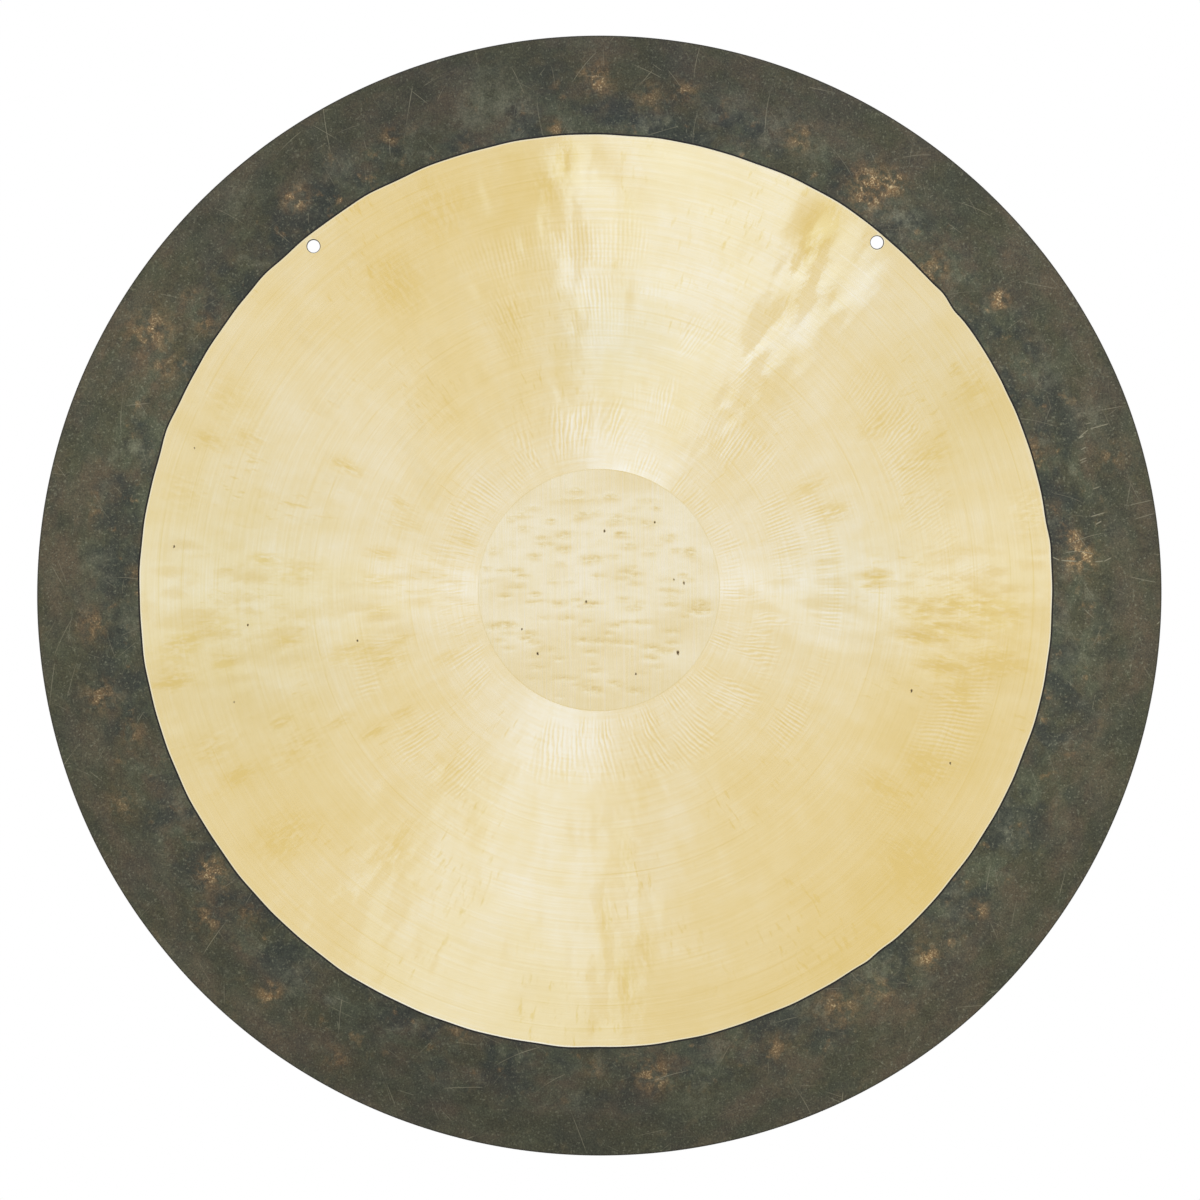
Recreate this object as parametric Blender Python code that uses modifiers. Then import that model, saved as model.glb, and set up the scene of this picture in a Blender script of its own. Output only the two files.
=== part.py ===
"""A wind gong: one sheet of bronze, hammered to a shallow dish and turned bright on both faces.

Metres, +Z up. The gong hangs upright and its front looks along -Y. The origin is the point
halfway between the two hanging holes, in the middle of the sheet.

The sheet is first revolved lying flat, with its front up and the lathe's axis on the local Z
axis. It is then hammered, drilled square to its surface and stood up.
"""

import math

import bpy
import numpy as np
from mathutils import Euler, Vector

# Driving dimensions of the sheet
DISC_RADIUS = 0.3556
RIM_WIDTH = 0.0667
CENTRE_RADIUS = 0.0766
RIM_THICKNESS = 0.0018
EDGE_THICKNESS = 0.0016
EDGE_ROUNDING = 0.0006
DISH_DEPTH = 0.012

# The lathe cuts both faces a little below the dark rim, and stops at a short sloping shoulder
TURNING_DEPTH = 0.00015
SHOULDER_WIDTH = 0.0008
CENTRE_STEP_DEPTH = 0.00006
CENTRE_STEP_WIDTH = 0.0006

# The rim was cut by hand and the centre left by the faceplate, so both lie off the lathe's axis
RIM_SHIFT = (0.0020, -0.0031)
CENTRE_SHIFT = (0.0018, 0.0007)
CENTRE_SHIFT_REACH = 0.08

# Hanging holes, one each side of the middle
HOLE_RADIUS = 0.0040
HOLE_SPACING = 0.3565
HOLE_INSET = 0.0062
HOLES_OFF_CENTRE = 0.0009
HOLE_CHAMFER = 0.0005
CUTTER_OVERRUN = 0.003

# How far each outline is from round: waves in a turn, size, direction of the first crest in degrees
EDGE_WAVES = (
    (2, 0.00060, -17),
    (4, 0.00015, 114),
    (5, 0.00030, 75),
    (6, 0.00012, 51),
)
FACE_WAVES = (
    (2, 0.00033, -103),
    (3, 0.00021, -141),
    (4, 0.00013, -125),
    (9, 0.00012, -111),
    (10, 0.00016, -134),
)

# The sheet springs out of flat towards its edge: waves in a turn, size at the edge, direction
BUCKLES = (
    (2, 0.0011, 35),
    (3, 0.0008, 160),
    (5, 0.0004, -70),
)

# Hammer blows, laid out in a spiral from the middle
BLOW_SPACING = 0.046
BLOW_REACH = 0.017
BLOW_DEPTH = 0.00045
BLOW_DEPTH_CHANGE = 0.35

# Fineness of the surface
TURN_STEPS = 96
CENTRE_RINGS = 4
FACE_RING_SPACING = 0.0155
RIM_RINGS = 4
ROUNDING_STEPS = 3
HOLE_STEPS = 24

GOLDEN_ANGLE = math.pi * (3 - math.sqrt(5))

face_radius = DISC_RADIUS - RIM_WIDTH
hole_ring_radius = face_radius - HOLE_INSET
hole_height = math.sqrt(hole_ring_radius**2 - (HOLE_SPACING / 2) ** 2)


# Shape of the sheet


def half_thickness(radius):
    """Half of the unturned sheet's thickness, which thins evenly across the rim."""
    across_rim = min(max((radius - face_radius) / RIM_WIDTH, 0), 1)
    return (RIM_THICKNESS + (EDGE_THICKNESS - RIM_THICKNESS) * across_rim) / 2


def dish_height(radius):
    """A shallow paraboloid, highest in the middle of the front and level with the local origin at the holes."""
    return DISH_DEPTH * (hole_ring_radius**2 - radius**2) / DISC_RADIUS**2


def front_section():
    """(radius, half thickness) of each ring of one face, from the middle out to where the edge starts to round."""
    inner_face = CENTRE_RADIUS + CENTRE_STEP_WIDTH
    outer_face = face_radius - SHOULDER_WIDTH
    turned = RIM_THICKNESS / 2 - TURNING_DEPTH
    centre = turned + CENTRE_STEP_DEPTH
    rings = [(CENTRE_RADIUS * i / CENTRE_RINGS, centre) for i in range(CENTRE_RINGS + 1)]
    count = max(round((outer_face - inner_face) / FACE_RING_SPACING), 1)
    rings += [(inner_face + (outer_face - inner_face) * i / count, turned) for i in range(count + 1)]
    start = DISC_RADIUS - EDGE_ROUNDING
    for i in range(RIM_RINGS + 1):
        radius = face_radius + (start - face_radius) * i / RIM_RINGS
        rings.append((radius, half_thickness(radius)))
    return rings


def edge_section():
    """(radius, height above the middle of the sheet) of the rounded edge, between the two faces."""
    half = half_thickness(DISC_RADIUS)
    rounding = min(EDGE_ROUNDING, half)
    upper = []
    for i in range(1, ROUNDING_STEPS + 1):
        angle = math.pi / 2 * i / ROUNDING_STEPS
        radius = DISC_RADIUS - EDGE_ROUNDING + EDGE_ROUNDING * math.sin(angle)
        upper.append((radius, half - rounding + rounding * math.cos(angle)))
    return upper + [(radius, -height) for radius, height in reversed(upper)]


def sheet_section():
    """The closed section's points (radius, height), from the middle of the front over the edge to the back."""
    front = front_section()
    offsets = front + edge_section() + [(radius, -half) for radius, half in reversed(front)]
    return [(radius, dish_height(radius) + offset) for radius, offset in offsets]


def waves(angle, table):
    """Sum of cosine waves round the turn, one for each row of the table."""
    return sum(size * np.cos(count * angle - math.radians(crest)) for count, size, crest in table)


def smooth_step(value):
    """0 below 0, 1 above 1 and a smooth rise between."""
    value = np.clip(value, 0, 1)
    return value * value * (3 - 2 * value)


def hammered_height(x, y):
    """How far the hammer and the spring of the sheet move it from its turned shape, the same on both faces."""
    angle = np.arctan2(y, x)
    from_middle = np.hypot(x, y)
    height = (from_middle / DISC_RADIUS) ** 2 * waves(angle, BUCKLES)
    blows = int((DISC_RADIUS / BLOW_SPACING) ** 2 * math.pi)
    for i in range(blows):
        radius = DISC_RADIUS * math.sqrt((i + 0.5) / blows)
        blow_x = radius * math.cos(i * GOLDEN_ANGLE)
        blow_y = radius * math.sin(i * GOLDEN_ANGLE)
        depth = BLOW_DEPTH * (1 + BLOW_DEPTH_CHANGE * math.sin(i * i))
        square = ((x - blow_x) ** 2 + (y - blow_y) ** 2) / BLOW_REACH**2
        height = height - depth * np.exp(-square)
    return height


def moved_off_round(x, y):
    """The rings moved to where they really lie: off the lathe's axis, and a little out of round."""
    angle = np.arctan2(y, x)
    radius = np.hypot(x, y)
    rim = smooth_step((radius - face_radius) / RIM_WIDTH)
    centre = 1 - smooth_step((radius - CENTRE_RADIUS - CENTRE_STEP_WIDTH) / CENTRE_SHIFT_REACH)
    near_shoulder = smooth_step(1 - abs(radius - face_radius) / RIM_WIDTH)
    radius = radius + rim * waves(angle, EDGE_WAVES) + near_shoulder * waves(angle, FACE_WAVES)
    x = radius * np.cos(angle) + rim * RIM_SHIFT[0] + centre * CENTRE_SHIFT[0]
    y = radius * np.sin(angle) + rim * RIM_SHIFT[1] + centre * CENTRE_SHIFT[1]
    return x, y


def sheet_height(x, y):
    """Height of the middle of the sheet at a place on it, before it is lifted to the holes' level."""
    return dish_height(np.hypot(x, y)) + hammered_height(x, y)


def hole_places():
    """(x, y) of both holes in the sheet's own frame, left one first."""
    return [(side * HOLE_SPACING / 2 + HOLES_OFF_CENTRE, hole_height) for side in (-1, 1)]


# Blender objects


def clear_scene():
    for obj in list(bpy.data.objects):
        bpy.data.objects.remove(obj, do_unlink=True)


def new_collection(name):
    collection = bpy.data.collections.new(name)
    bpy.context.scene.collection.children.link(collection)
    return collection


def new_material(name, colour, metallic, roughness):
    material = bpy.data.materials.new(name)
    material.use_nodes = True
    shader = material.node_tree.nodes["Principled BSDF"]
    shader.inputs["Base Color"].default_value = (*colour, 1)
    shader.inputs["Metallic"].default_value = metallic
    shader.inputs["Roughness"].default_value = roughness
    material.diffuse_color = (*colour, 1)
    return material


def turned_mesh(name, section, steps):
    """A closed mesh from a section of (radius, height) points that starts and ends on the Z axis."""
    mesh = bpy.data.meshes.new(name)
    edges = [(i, i + 1) for i in range(len(section) - 1)]
    mesh.from_pydata([(radius, 0, height) for radius, height in section], edges, [])
    profile = bpy.data.objects.new(name, mesh)
    bpy.context.scene.collection.objects.link(profile)
    screw = profile.modifiers.new("turn", "SCREW")
    screw.axis = "Z"
    screw.steps = steps
    screw.render_steps = steps
    screw.use_merge_vertices = True
    screw.merge_threshold = 0.00001
    graph = bpy.context.evaluated_depsgraph_get()
    turned = bpy.data.meshes.new_from_object(profile.evaluated_get(graph))
    bpy.data.objects.remove(profile, do_unlink=True)
    bpy.data.meshes.remove(mesh)
    turned.name = name
    return turned


def hammer(mesh, lift):
    """Moves every point of the turned sheet to its hammered place and lifts it to the holes' level."""
    points = np.empty(len(mesh.vertices) * 3)
    mesh.vertices.foreach_get("co", points)
    points = points.reshape(-1, 3)
    x, y = moved_off_round(points[:, 0], points[:, 1])
    points[:, 2] += hammered_height(x, y) - lift
    points[:, 0] = x
    points[:, 1] = y
    mesh.vertices.foreach_set("co", points.ravel())
    mesh.update()


def finish_zones(mesh):
    """Gives each face the material of its zone: 0 for the turned bronze, 1 for the dark rim, 2 for the centre."""
    rim_ring = face_radius - SHOULDER_WIDTH / 2
    centre_ring = CENTRE_RADIUS + CENTRE_STEP_WIDTH / 2
    for polygon in mesh.polygons:
        radius = math.hypot(polygon.center.x, polygon.center.y)
        polygon.material_index = 1 if radius > rim_ring else 2 if radius < centre_ring else 0


def surface_normal(x, y):
    """Unit normal of the middle of the sheet, from its rise over a short step each way."""
    step = 0.001
    rise_x = sheet_height(x + step, y) - sheet_height(x - step, y)
    rise_y = sheet_height(x, y + step) - sheet_height(x, y - step)
    return Vector((-rise_x, -rise_y, 2 * step)).normalized()


def hole_cutter(name, place, lift):
    """A turned spool that drills one hole square to the sheet and breaks its edge on both faces."""
    half = RIM_THICKNESS / 2 - TURNING_DEPTH
    waist = half - HOLE_CHAMFER
    end = half + CUTTER_OVERRUN
    flare = HOLE_RADIUS + HOLE_CHAMFER + CUTTER_OVERRUN
    section = [(0, end), (flare, end), (HOLE_RADIUS, waist), (HOLE_RADIUS, -waist), (flare, -end), (0, -end)]
    cutter = bpy.data.objects.new(name, turned_mesh(name, section, HOLE_STEPS))
    cutter.location = (*place, sheet_height(*place) - lift)
    cutter.rotation_euler = surface_normal(*place).to_track_quat("Z", "Y").to_euler()
    cutter.hide_render = True
    cutter.display_type = "WIRE"
    return cutter


def build_gong():
    clear_scene()
    parts = new_collection("wind_gong")
    cutters = new_collection("cutters")
    lift = sum(sheet_height(*place) for place in hole_places()) / 2

    mesh = turned_mesh("gong_disc", sheet_section(), TURN_STEPS)
    finish_zones(mesh)
    hammer(mesh, lift)
    mesh.materials.clear()
    mesh.materials.append(new_material("turned_bronze", (0.80, 0.64, 0.35), 1.0, 0.32))
    mesh.materials.append(new_material("rim_scale", (0.075, 0.072, 0.055), 0.35, 0.62))
    mesh.materials.append(new_material("brushed_centre", (0.84, 0.72, 0.48), 1.0, 0.45))
    disc = bpy.data.objects.new("gong_disc", mesh)
    parts.objects.link(disc)

    # The empty stands the flat sheet upright and puts the holes' midpoint at the origin
    upright = bpy.data.objects.new("hanging_point", None)
    parts.objects.link(upright)
    upright.rotation_euler = Euler((math.radians(90), 0, 0))
    disc.parent = upright
    disc.location = (-HOLES_OFF_CENTRE, -hole_height, 0)

    for name, place in zip(("left_hole_cutter", "right_hole_cutter"), hole_places()):
        cutter = hole_cutter(name, place, lift)
        cutters.objects.link(cutter)
        cutter.parent = disc
        drill = disc.modifiers.new(name, "BOOLEAN")
        drill.operation = "DIFFERENCE"
        drill.solver = "EXACT"
        drill.object = cutter

    mesh.shade_smooth()
    mesh.set_sharp_from_angle(angle=math.radians(35))


build_gong()
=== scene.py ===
import math

import bpy
import numpy as np
from mathutils import Matrix, Vector


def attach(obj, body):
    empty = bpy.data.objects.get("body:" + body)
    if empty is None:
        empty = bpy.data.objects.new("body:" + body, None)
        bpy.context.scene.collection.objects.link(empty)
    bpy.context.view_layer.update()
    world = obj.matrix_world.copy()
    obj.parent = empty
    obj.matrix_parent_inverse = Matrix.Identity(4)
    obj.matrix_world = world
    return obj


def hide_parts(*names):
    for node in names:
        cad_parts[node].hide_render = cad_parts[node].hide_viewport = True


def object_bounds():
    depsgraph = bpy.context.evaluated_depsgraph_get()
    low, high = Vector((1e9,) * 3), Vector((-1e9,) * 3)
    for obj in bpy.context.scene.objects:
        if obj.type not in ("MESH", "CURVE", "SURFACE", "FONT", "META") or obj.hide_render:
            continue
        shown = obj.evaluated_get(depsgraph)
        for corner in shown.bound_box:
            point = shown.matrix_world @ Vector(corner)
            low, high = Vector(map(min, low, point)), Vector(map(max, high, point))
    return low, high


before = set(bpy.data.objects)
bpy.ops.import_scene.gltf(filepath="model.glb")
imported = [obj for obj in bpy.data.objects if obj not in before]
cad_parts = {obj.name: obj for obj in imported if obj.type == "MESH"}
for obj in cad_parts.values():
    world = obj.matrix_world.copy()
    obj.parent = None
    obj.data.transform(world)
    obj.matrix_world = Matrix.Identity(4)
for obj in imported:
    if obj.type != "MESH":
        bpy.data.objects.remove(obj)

# A wind gong: one hammered bronze sheet, shown as three finishes that meet edge to edge,
# the dark rim, the turned face and the brushed middle, each the same front and back.
# Metres, +Z up, front along -Y, origin halfway between the two hanging holes.
# Shapes are worked out lying down: x right and y up on the face, height out of the front, lathe axis at 0.

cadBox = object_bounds()


# shape of the sheet

sheet = {
    "radius": 0.3556,
    "faceRadius": 0.2889,  # where the lathe stopped and the dark rim begins
    "centreRadius": 0.0766,
    "rimThickness": 0.0018,
    "edgeThickness": 0.00157,
    "edgeRounding": 0.0006,
    "edgeInset": 0.00014,  # keeps the fine edge inside the coarser frame
    "dishDepth": 0.012,
    "turningDepth": 0.00015,
    "shoulderWidth": 0.0008,
    "centreStepDepth": 0.000055,
    "centreStepWidth": 0.0006,
    "rimShift": (0.0020, -0.0031),
    "centreShift": (0.0018, 0.0007),
    "centreShiftReach": 0.08,
    "holeRadius": 0.0040,
    "holeSpacing": 0.3565,
    "holeRing": 0.2827,
    "holesOffCentre": 0.0009,
    "holeChamfer": 0.0005,
    # waves in a turn, size, direction of the first crest in degrees
    "edgeWaves": ((2, 0.00060, -17), (4, 0.00015, 114), (5, 0.00030, 75), (6, 0.00012, 51)),
    "faceWaves": (
        (2, 0.00033, -103), (3, 0.00021, -141), (4, 0.00013, -125), (9, 0.00012, -111), (10, 0.00016, -134),
        (23, 0.00014, 40), (37, 0.00012, 115), (61, 0.00009, -20),
    ),
    # uneven places of the line where the lathe stopped: azimuth from the top, half width, outward shift
    "faceNicks": (
        (-46, 2.4, 0.0010), (-30, 2.4, 0.0008), (33.5, 3.0, 0.0010), (49.8, 1.2, 0.0008),
        (52.4, 1.0, -0.0005), (84.2, 1.8, 0.0006), (-69, 2.4, 0.0007), (139.8, 1.6, 0.0007),
        (144.2, 1.2, 0.0006), (20, 2.4, -0.0006), (-180, 2.6, -0.0006), (63, 1.4, 0.0004),
    ),
    "buckles": ((2, 0.0011, 35), (3, 0.0008, 160), (5, 0.0004, -70)),
    "blowSpacing": 0.046,
    "blowReach": 0.017,
    "blowDepth": 0.00045,
    "blowDepthChange": 0.35,
    "around": 896,  # steps round the rim and the face
    "seamFade": (0.0015, 0.006),  # from the seam of rim and face: where the dents of both begin and are full
    "drillOverrun": 0.003,
    "drillSteps": 72,
}
rimWidth = sheet["radius"] - sheet["faceRadius"]
holeHeight = math.sqrt(sheet["holeRing"] ** 2 - (sheet["holeSpacing"] / 2) ** 2)
goldenAngle = math.pi * (3 - math.sqrt(5))
turned = sheet["rimThickness"] / 2 - sheet["turningDepth"]
brushed = turned + sheet["centreStepDepth"]


# sum of cosine waves round a turn: size * cos(count * angle - crest)
def waveSum(angle, table):
    return sum(size * np.cos(count * angle - math.radians(crest)) for count, size, crest in table)


# 0 below low, 1 above high, 3t^2 - 2t^3 between
def smoothStep(value, low=0.0, high=1.0):
    part = np.clip((value - low) / (high - low), 0, 1)
    return part * part * (3 - 2 * part)


# half the unturned thickness, thinning evenly across the rim
def halfThickness(radius):
    across = np.clip((radius - sheet["faceRadius"]) / rimWidth, 0, 1)
    return (sheet["rimThickness"] + (sheet["edgeThickness"] - sheet["rimThickness"]) * across) / 2


# paraboloid, level with 0 at the holes' ring: depth * (ring^2 - radius^2) / disc radius^2
def dishHeight(radius):
    return sheet["dishDepth"] * (sheet["holeRing"] ** 2 - radius**2) / sheet["radius"] ** 2


# sum of round dents: -depth * exp(-(distance / reach)^2) for each row (x, y, reach, depth)
def dentField(x, y, dents):
    height = np.zeros_like(x)
    for dentX, dentY, reach, depth in dents:
        height -= depth * np.exp(-((x - dentX) ** 2 + (y - dentY) ** 2) / reach**2)
    return height


# the frame's own hammer blows, on a sunflower spiral from the middle
def blowRows():
    count = int((sheet["radius"] / sheet["blowSpacing"]) ** 2 * math.pi)
    turn = np.arange(count)
    radius = sheet["radius"] * np.sqrt((turn + 0.5) / count)
    depth = sheet["blowDepth"] * (1 + sheet["blowDepthChange"] * np.sin(turn * turn))
    reach = np.full(count, sheet["blowReach"])
    angle = turn * goldenAngle
    return np.stack([radius * np.cos(angle), radius * np.sin(angle), reach, depth], 1)


blows = blowRows()


# buckles growing with the square of the radius, plus the hammer blows
def hammerHeight(x, y):
    spring = (np.hypot(x, y) / sheet["radius"]) ** 2 * waveSum(np.arctan2(y, x), sheet["buckles"])
    return spring + dentField(x, y, blows)


# rings moved off the lathe's axis and a little out of round, by smooth weights of the radius
def movedOffRound(radius, angle):
    rim = smoothStep((radius - sheet["faceRadius"]) / rimWidth)
    centreEdge = sheet["centreRadius"] + sheet["centreStepWidth"]
    centre = 1 - smoothStep((radius - centreEdge) / sheet["centreShiftReach"])
    nearShoulder = smoothStep(1 - abs(radius - sheet["faceRadius"]) / rimWidth)
    face = waveSum(angle, sheet["faceWaves"])
    for azimuth, half, shift in sheet["faceNicks"]:
        away = (90 - np.degrees(angle) - azimuth + 180) % 360 - 180
        face = face + shift * np.exp(-((away / half) ** 2))
    radius = radius + rim * waveSum(angle, sheet["edgeWaves"]) + nearShoulder * face
    x = radius * np.cos(angle) + rim * sheet["rimShift"][0] + centre * sheet["centreShift"][0]
    y = radius * np.sin(angle) + rim * sheet["rimShift"][1] + centre * sheet["centreShift"][1]
    return x, y


# height of the middle of the sheet at one place
def heightAt(x, y):
    x, y = np.array([x]), np.array([y])
    return float((dishHeight(np.hypot(x, y)) + hammerHeight(x, y))[0])


holePlaces = [(side * sheet["holeSpacing"] / 2 + sheet["holesOffCentre"], holeHeight) for side in (-1, 1)]
lift = sum(heightAt(x, y) for x, y in holePlaces) / 2


# stands the flat sheet upright: (x, y, height) becomes (x, -height, y), holes' midpoint at the origin
def standUp(x, y, height):
    return np.stack([x - sheet["holesOffCentre"], -(height - lift), y - holeHeight], -1)


# (x, y) in the sheet's flat frame of a place given by azimuth clockwise from the top and radius
def atAzimuth(azimuth, radius):
    turn = np.radians(azimuth)
    return radius * np.sin(turn), radius * np.cos(turn)


# meshes from sections carried round the axis


# corners (turn step, section place) of every face of the grid: across the section first, then round,
# so that the normal of the front comes out along +height
def gridCorners(around, columns):
    i, j = np.meshgrid(np.arange(around), np.arange(columns), indexing="ij")
    corners = [(i, j), (i, j + 1), (i + 1, j + 1), (i + 1, j)]
    return np.stack([np.stack(corner, -1) for corner in corners], 2).reshape(-1, 4, 2)


# an object from arrays: corners are vertex numbers face after face, sizes the corner count of each face
def meshObject(name, points, corners, sizes, uv=None, values=None):
    mesh = bpy.data.meshes.new(name)
    mesh.vertices.add(len(points))
    mesh.vertices.foreach_set("co", np.ascontiguousarray(points, np.float32).ravel())
    mesh.loops.add(len(corners))
    mesh.loops.foreach_set("vertex_index", corners.astype(np.int32))
    mesh.polygons.add(len(sizes))
    mesh.polygons.foreach_set("loop_start", (np.cumsum(sizes) - sizes).astype(np.int32))
    mesh.update(calc_edges=True)
    if uv is not None:
        layer = mesh.uv_layers.new(name="OFBake")
        layer.uv.foreach_set("vector", np.ascontiguousarray(uv, np.float32).ravel())
    for label, numbers in (values or {}).items():
        mesh.attributes.new(label, "FLOAT", "POINT").data.foreach_set("value", numbers.astype(np.float32))
    mesh.validate()
    piece = bpy.data.objects.new(name, mesh)
    bpy.context.scene.collection.objects.link(piece)
    return piece


# a section (radius, offset, side) carried round the axis, as grids of turn steps by section places:
# point = (moved radius, angle), height = dish + hammer + relief + offset;
# values gives the numbers kept on the points
def carryRound(section, around, relief, values):
    radius, offset, side = section[:3]
    angle = np.linspace(0, 2 * math.pi, around, endpoint=False)
    ringRadius, ringAngle = np.broadcast_arrays(radius[None, :], angle[:, None])
    x, y = movedOffRound(ringRadius, ringAngle)
    height = dishHeight(ringRadius) + hammerHeight(x, y) + relief(x, y) + offset[None, :]
    return standUp(x, y, height), values(x, y, ringRadius, side[None, :] + 0 * x)


# closed section, whose place number middle is the first one of the back
def ringPiece(name, section, around, relief, values):
    points, numbers = carryRound(section, around, relief, values)
    radius, offset, _, middle = section
    columns = len(radius)
    grid = gridCorners(around, columns)
    corners = (grid[..., 0] % around) * columns + grid[..., 1] % columns
    uv = stripMap(grid, radius, offset, around, middle)
    onPoints = {label: grids.ravel() for label, grids in numbers.items()}
    return meshObject(name, points.reshape(-1, 3), corners.ravel(), np.full(len(grid), 4), uv, onPoints)


# four strips across the map, front and back by left and right half turn:
# u is the way round, v the way along the section
def stripMap(grid, radius, offset, around, middle):
    columns = len(radius)
    step = np.hypot(np.diff(np.append(radius, radius[0])), np.diff(np.append(offset, offset[0])))
    along = np.append(0, np.cumsum(step))
    part = (grid[:, :1, 1] >= middle).astype(float)
    half = (grid[:, :1, 0] >= around // 2).astype(float)
    start = np.where(part > 0, along[middle], 0)
    length = np.where(part > 0, along[columns] - along[middle], along[middle])
    u = (grid[..., 0] - half * (around // 2)) / (around // 2)
    v = (along[grid[..., 1]] - start) / length
    endGap, stripGap = 0.01, 0.03
    u = endGap + (1 - 2 * endGap) * u
    v = (2 * part + half + stripGap + (1 - 2 * stripGap) * v) / 4
    return np.stack([u, v], -1).reshape(-1, 2)


# smooth shading but for edges sharper than so many degrees, and the piece's place in the frame
def finishPiece(piece, sharp):
    piece.data.shade_smooth()
    piece.data.set_sharp_from_angle(angle=math.radians(sharp))
    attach(piece, "root")
    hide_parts("gong_disc")


# shader nodes


def addNode(tree, kind, **settings):
    node = tree.nodes.new(kind)
    for name, value in settings.items():
        setattr(node, name, value)
    return node


# links an output, or sets a plain number, vector or colour
def feed(tree, socket, value):
    if isinstance(value, bpy.types.NodeSocket):
        tree.links.new(value, socket)
    else:
        socket.default_value = value


def calc(tree, operation, *values, clamp=False):
    node = addNode(tree, "ShaderNodeMath", operation=operation, use_clamp=clamp)
    for socket, value in zip(node.inputs, values):
        feed(tree, socket, value)
    return node.outputs[0]


def times(tree, first, second):
    return calc(tree, "MULTIPLY", first, second)


def plus(tree, first, second):
    return calc(tree, "ADD", first, second)


def minus(tree, first, second):
    return calc(tree, "SUBTRACT", first, second)


def larger(tree, first, second):
    return calc(tree, "MAXIMUM", first, second)


# value * amount + start
def scaled(tree, value, amount, start):
    return calc(tree, "MULTIPLY_ADD", value, amount, start)


def join(tree, x, y, z):
    node = addNode(tree, "ShaderNodeCombineXYZ")
    for socket, value in zip(node.inputs, (x, y, z)):
        feed(tree, socket, value)
    return node.outputs[0]


def split(tree, vector):
    node = addNode(tree, "ShaderNodeSeparateXYZ")
    feed(tree, node.inputs[0], vector)
    return node.outputs


# smooth rise from 0 to 1 while the value goes from low to high
def rise(tree, value, low, high):
    node = addNode(tree, "ShaderNodeMapRange", interpolation_type="SMOOTHSTEP")
    for socket, number in zip(node.inputs, (value, low, high)):
        feed(tree, socket, number)
    return node.outputs[0]


# smooth fall from 1 to 0 while the value goes from low to high
def fall(tree, value, low, high):
    return minus(tree, 1.0, rise(tree, value, low, high))


def noise(tree, vector, scale, detail=2.0, roughness=0.5):
    node = addNode(tree, "ShaderNodeTexNoise")
    for name, value in (("Vector", vector), ("Scale", scale), ("Detail", detail), ("Roughness", roughness)):
        feed(tree, node.inputs[name], value)
    return node.outputs["Fac"]


# noise of a scale, detail and roughness, rising from 0 to 1 between two levels
def cutNoise(tree, vector, scale, detail, roughness, low, high):
    return rise(tree, noise(tree, vector, scale, detail, roughness), low, high)


# first colour where the factor is 0, second where it is 1
def blend(tree, factor, first, second, kind="MIX"):
    node = addNode(tree, "ShaderNodeMix", data_type="RGBA", blend_type=kind)
    for index, value in ((0, factor), (6, first), (7, second)):
        if index and isinstance(value, tuple):
            value = (*value, 1.0)
        feed(tree, node.inputs[index], value)
    return node.outputs[2]


# a node group whose sockets are plain numbers, apart from those named in vectors
def newGroup(name, inputs, outputs, vectors=("Vector", "Round", "Start", "End")):
    group = bpy.data.node_groups.new(name, "ShaderNodeTree")
    for labels, way in ((inputs, "INPUT"), (outputs, "OUTPUT")):
        for label in labels:
            kind = "NodeSocketVector" if label in vectors else "NodeSocketFloat"
            group.interface.new_socket(label, in_out=way, socket_type=kind)
    return group, addNode(group, "NodeGroupInput").outputs, addNode(group, "NodeGroupOutput").inputs


def useGroup(tree, group, values):
    node = addNode(tree, "ShaderNodeGroup", node_tree=group)
    for name, value in values.items():
        feed(tree, node.inputs[name], value)
    return node.outputs


# place round the lathe's axis: radius, azimuth, and a vector that draws a noise out along the turn
def makePolarPlace():
    group, given, out = newGroup(
        "polarPlace",
        ("Vector", "Centre X", "Centre Z", "Side", "Radial Scale", "Turn Scale"),
        ("Radius", "Azimuth", "Round"),
    )
    part = split(group, given["Vector"])
    x = minus(group, part[0], given["Centre X"])
    z = minus(group, part[2], given["Centre Z"])
    radius = calc(group, "SQRT", plus(group, times(group, x, x), times(group, z, z)))
    azimuth = calc(group, "ARCTAN2", x, z)
    backShift = 31.7  # gives the back noises of its own
    shift = times(group, given["Side"], backShift)
    feed(group, out["Radius"], radius)
    feed(group, out["Azimuth"], azimuth)
    straight = join(
        group,
        plus(group, times(group, radius, given["Radial Scale"]), shift),
        times(group, calc(group, "SINE", azimuth), given["Turn Scale"]),
        times(group, calc(group, "COSINE", azimuth), given["Turn Scale"]),
    )
    # turned askew, so that the square grid inside a noise doesn't show along and across the turn
    askew = addNode(group, "ShaderNodeVectorRotate", rotation_type="EULER_XYZ")
    feed(group, askew.inputs["Vector"], straight)
    askew.inputs["Rotation"].default_value = (0.7, 0.9, 0.5)
    feed(group, out["Round"], askew.outputs[0])
    return group


# fine circular tool lines, summed about 0:
# noises that change fast with the radius and hardly round the turn
def makeTurnedGrooves():
    group, given, out = newGroup(
        "turnedGrooves",
        ("Round", "Depth", "Coarse Share"),
        ("Height", "Tone"),
    )
    coarse = minus(group, noise(group, given["Round"], 0.28, 1.0, 0.5), 0.5)
    middle = minus(group, noise(group, given["Round"], 1.0, 2.0, 0.6), 0.5)
    fine = minus(group, noise(group, given["Round"], 2.6, 1.0, 0.5), 0.5)
    feed(group, out["Height"], times(group, middle, given["Depth"]))
    fineShare = 1.1
    both = plus(group, middle, times(group, fine, fineShare))
    feed(group, out["Tone"], scaled(group, coarse, given["Coarse Share"], both))
    return group


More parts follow.
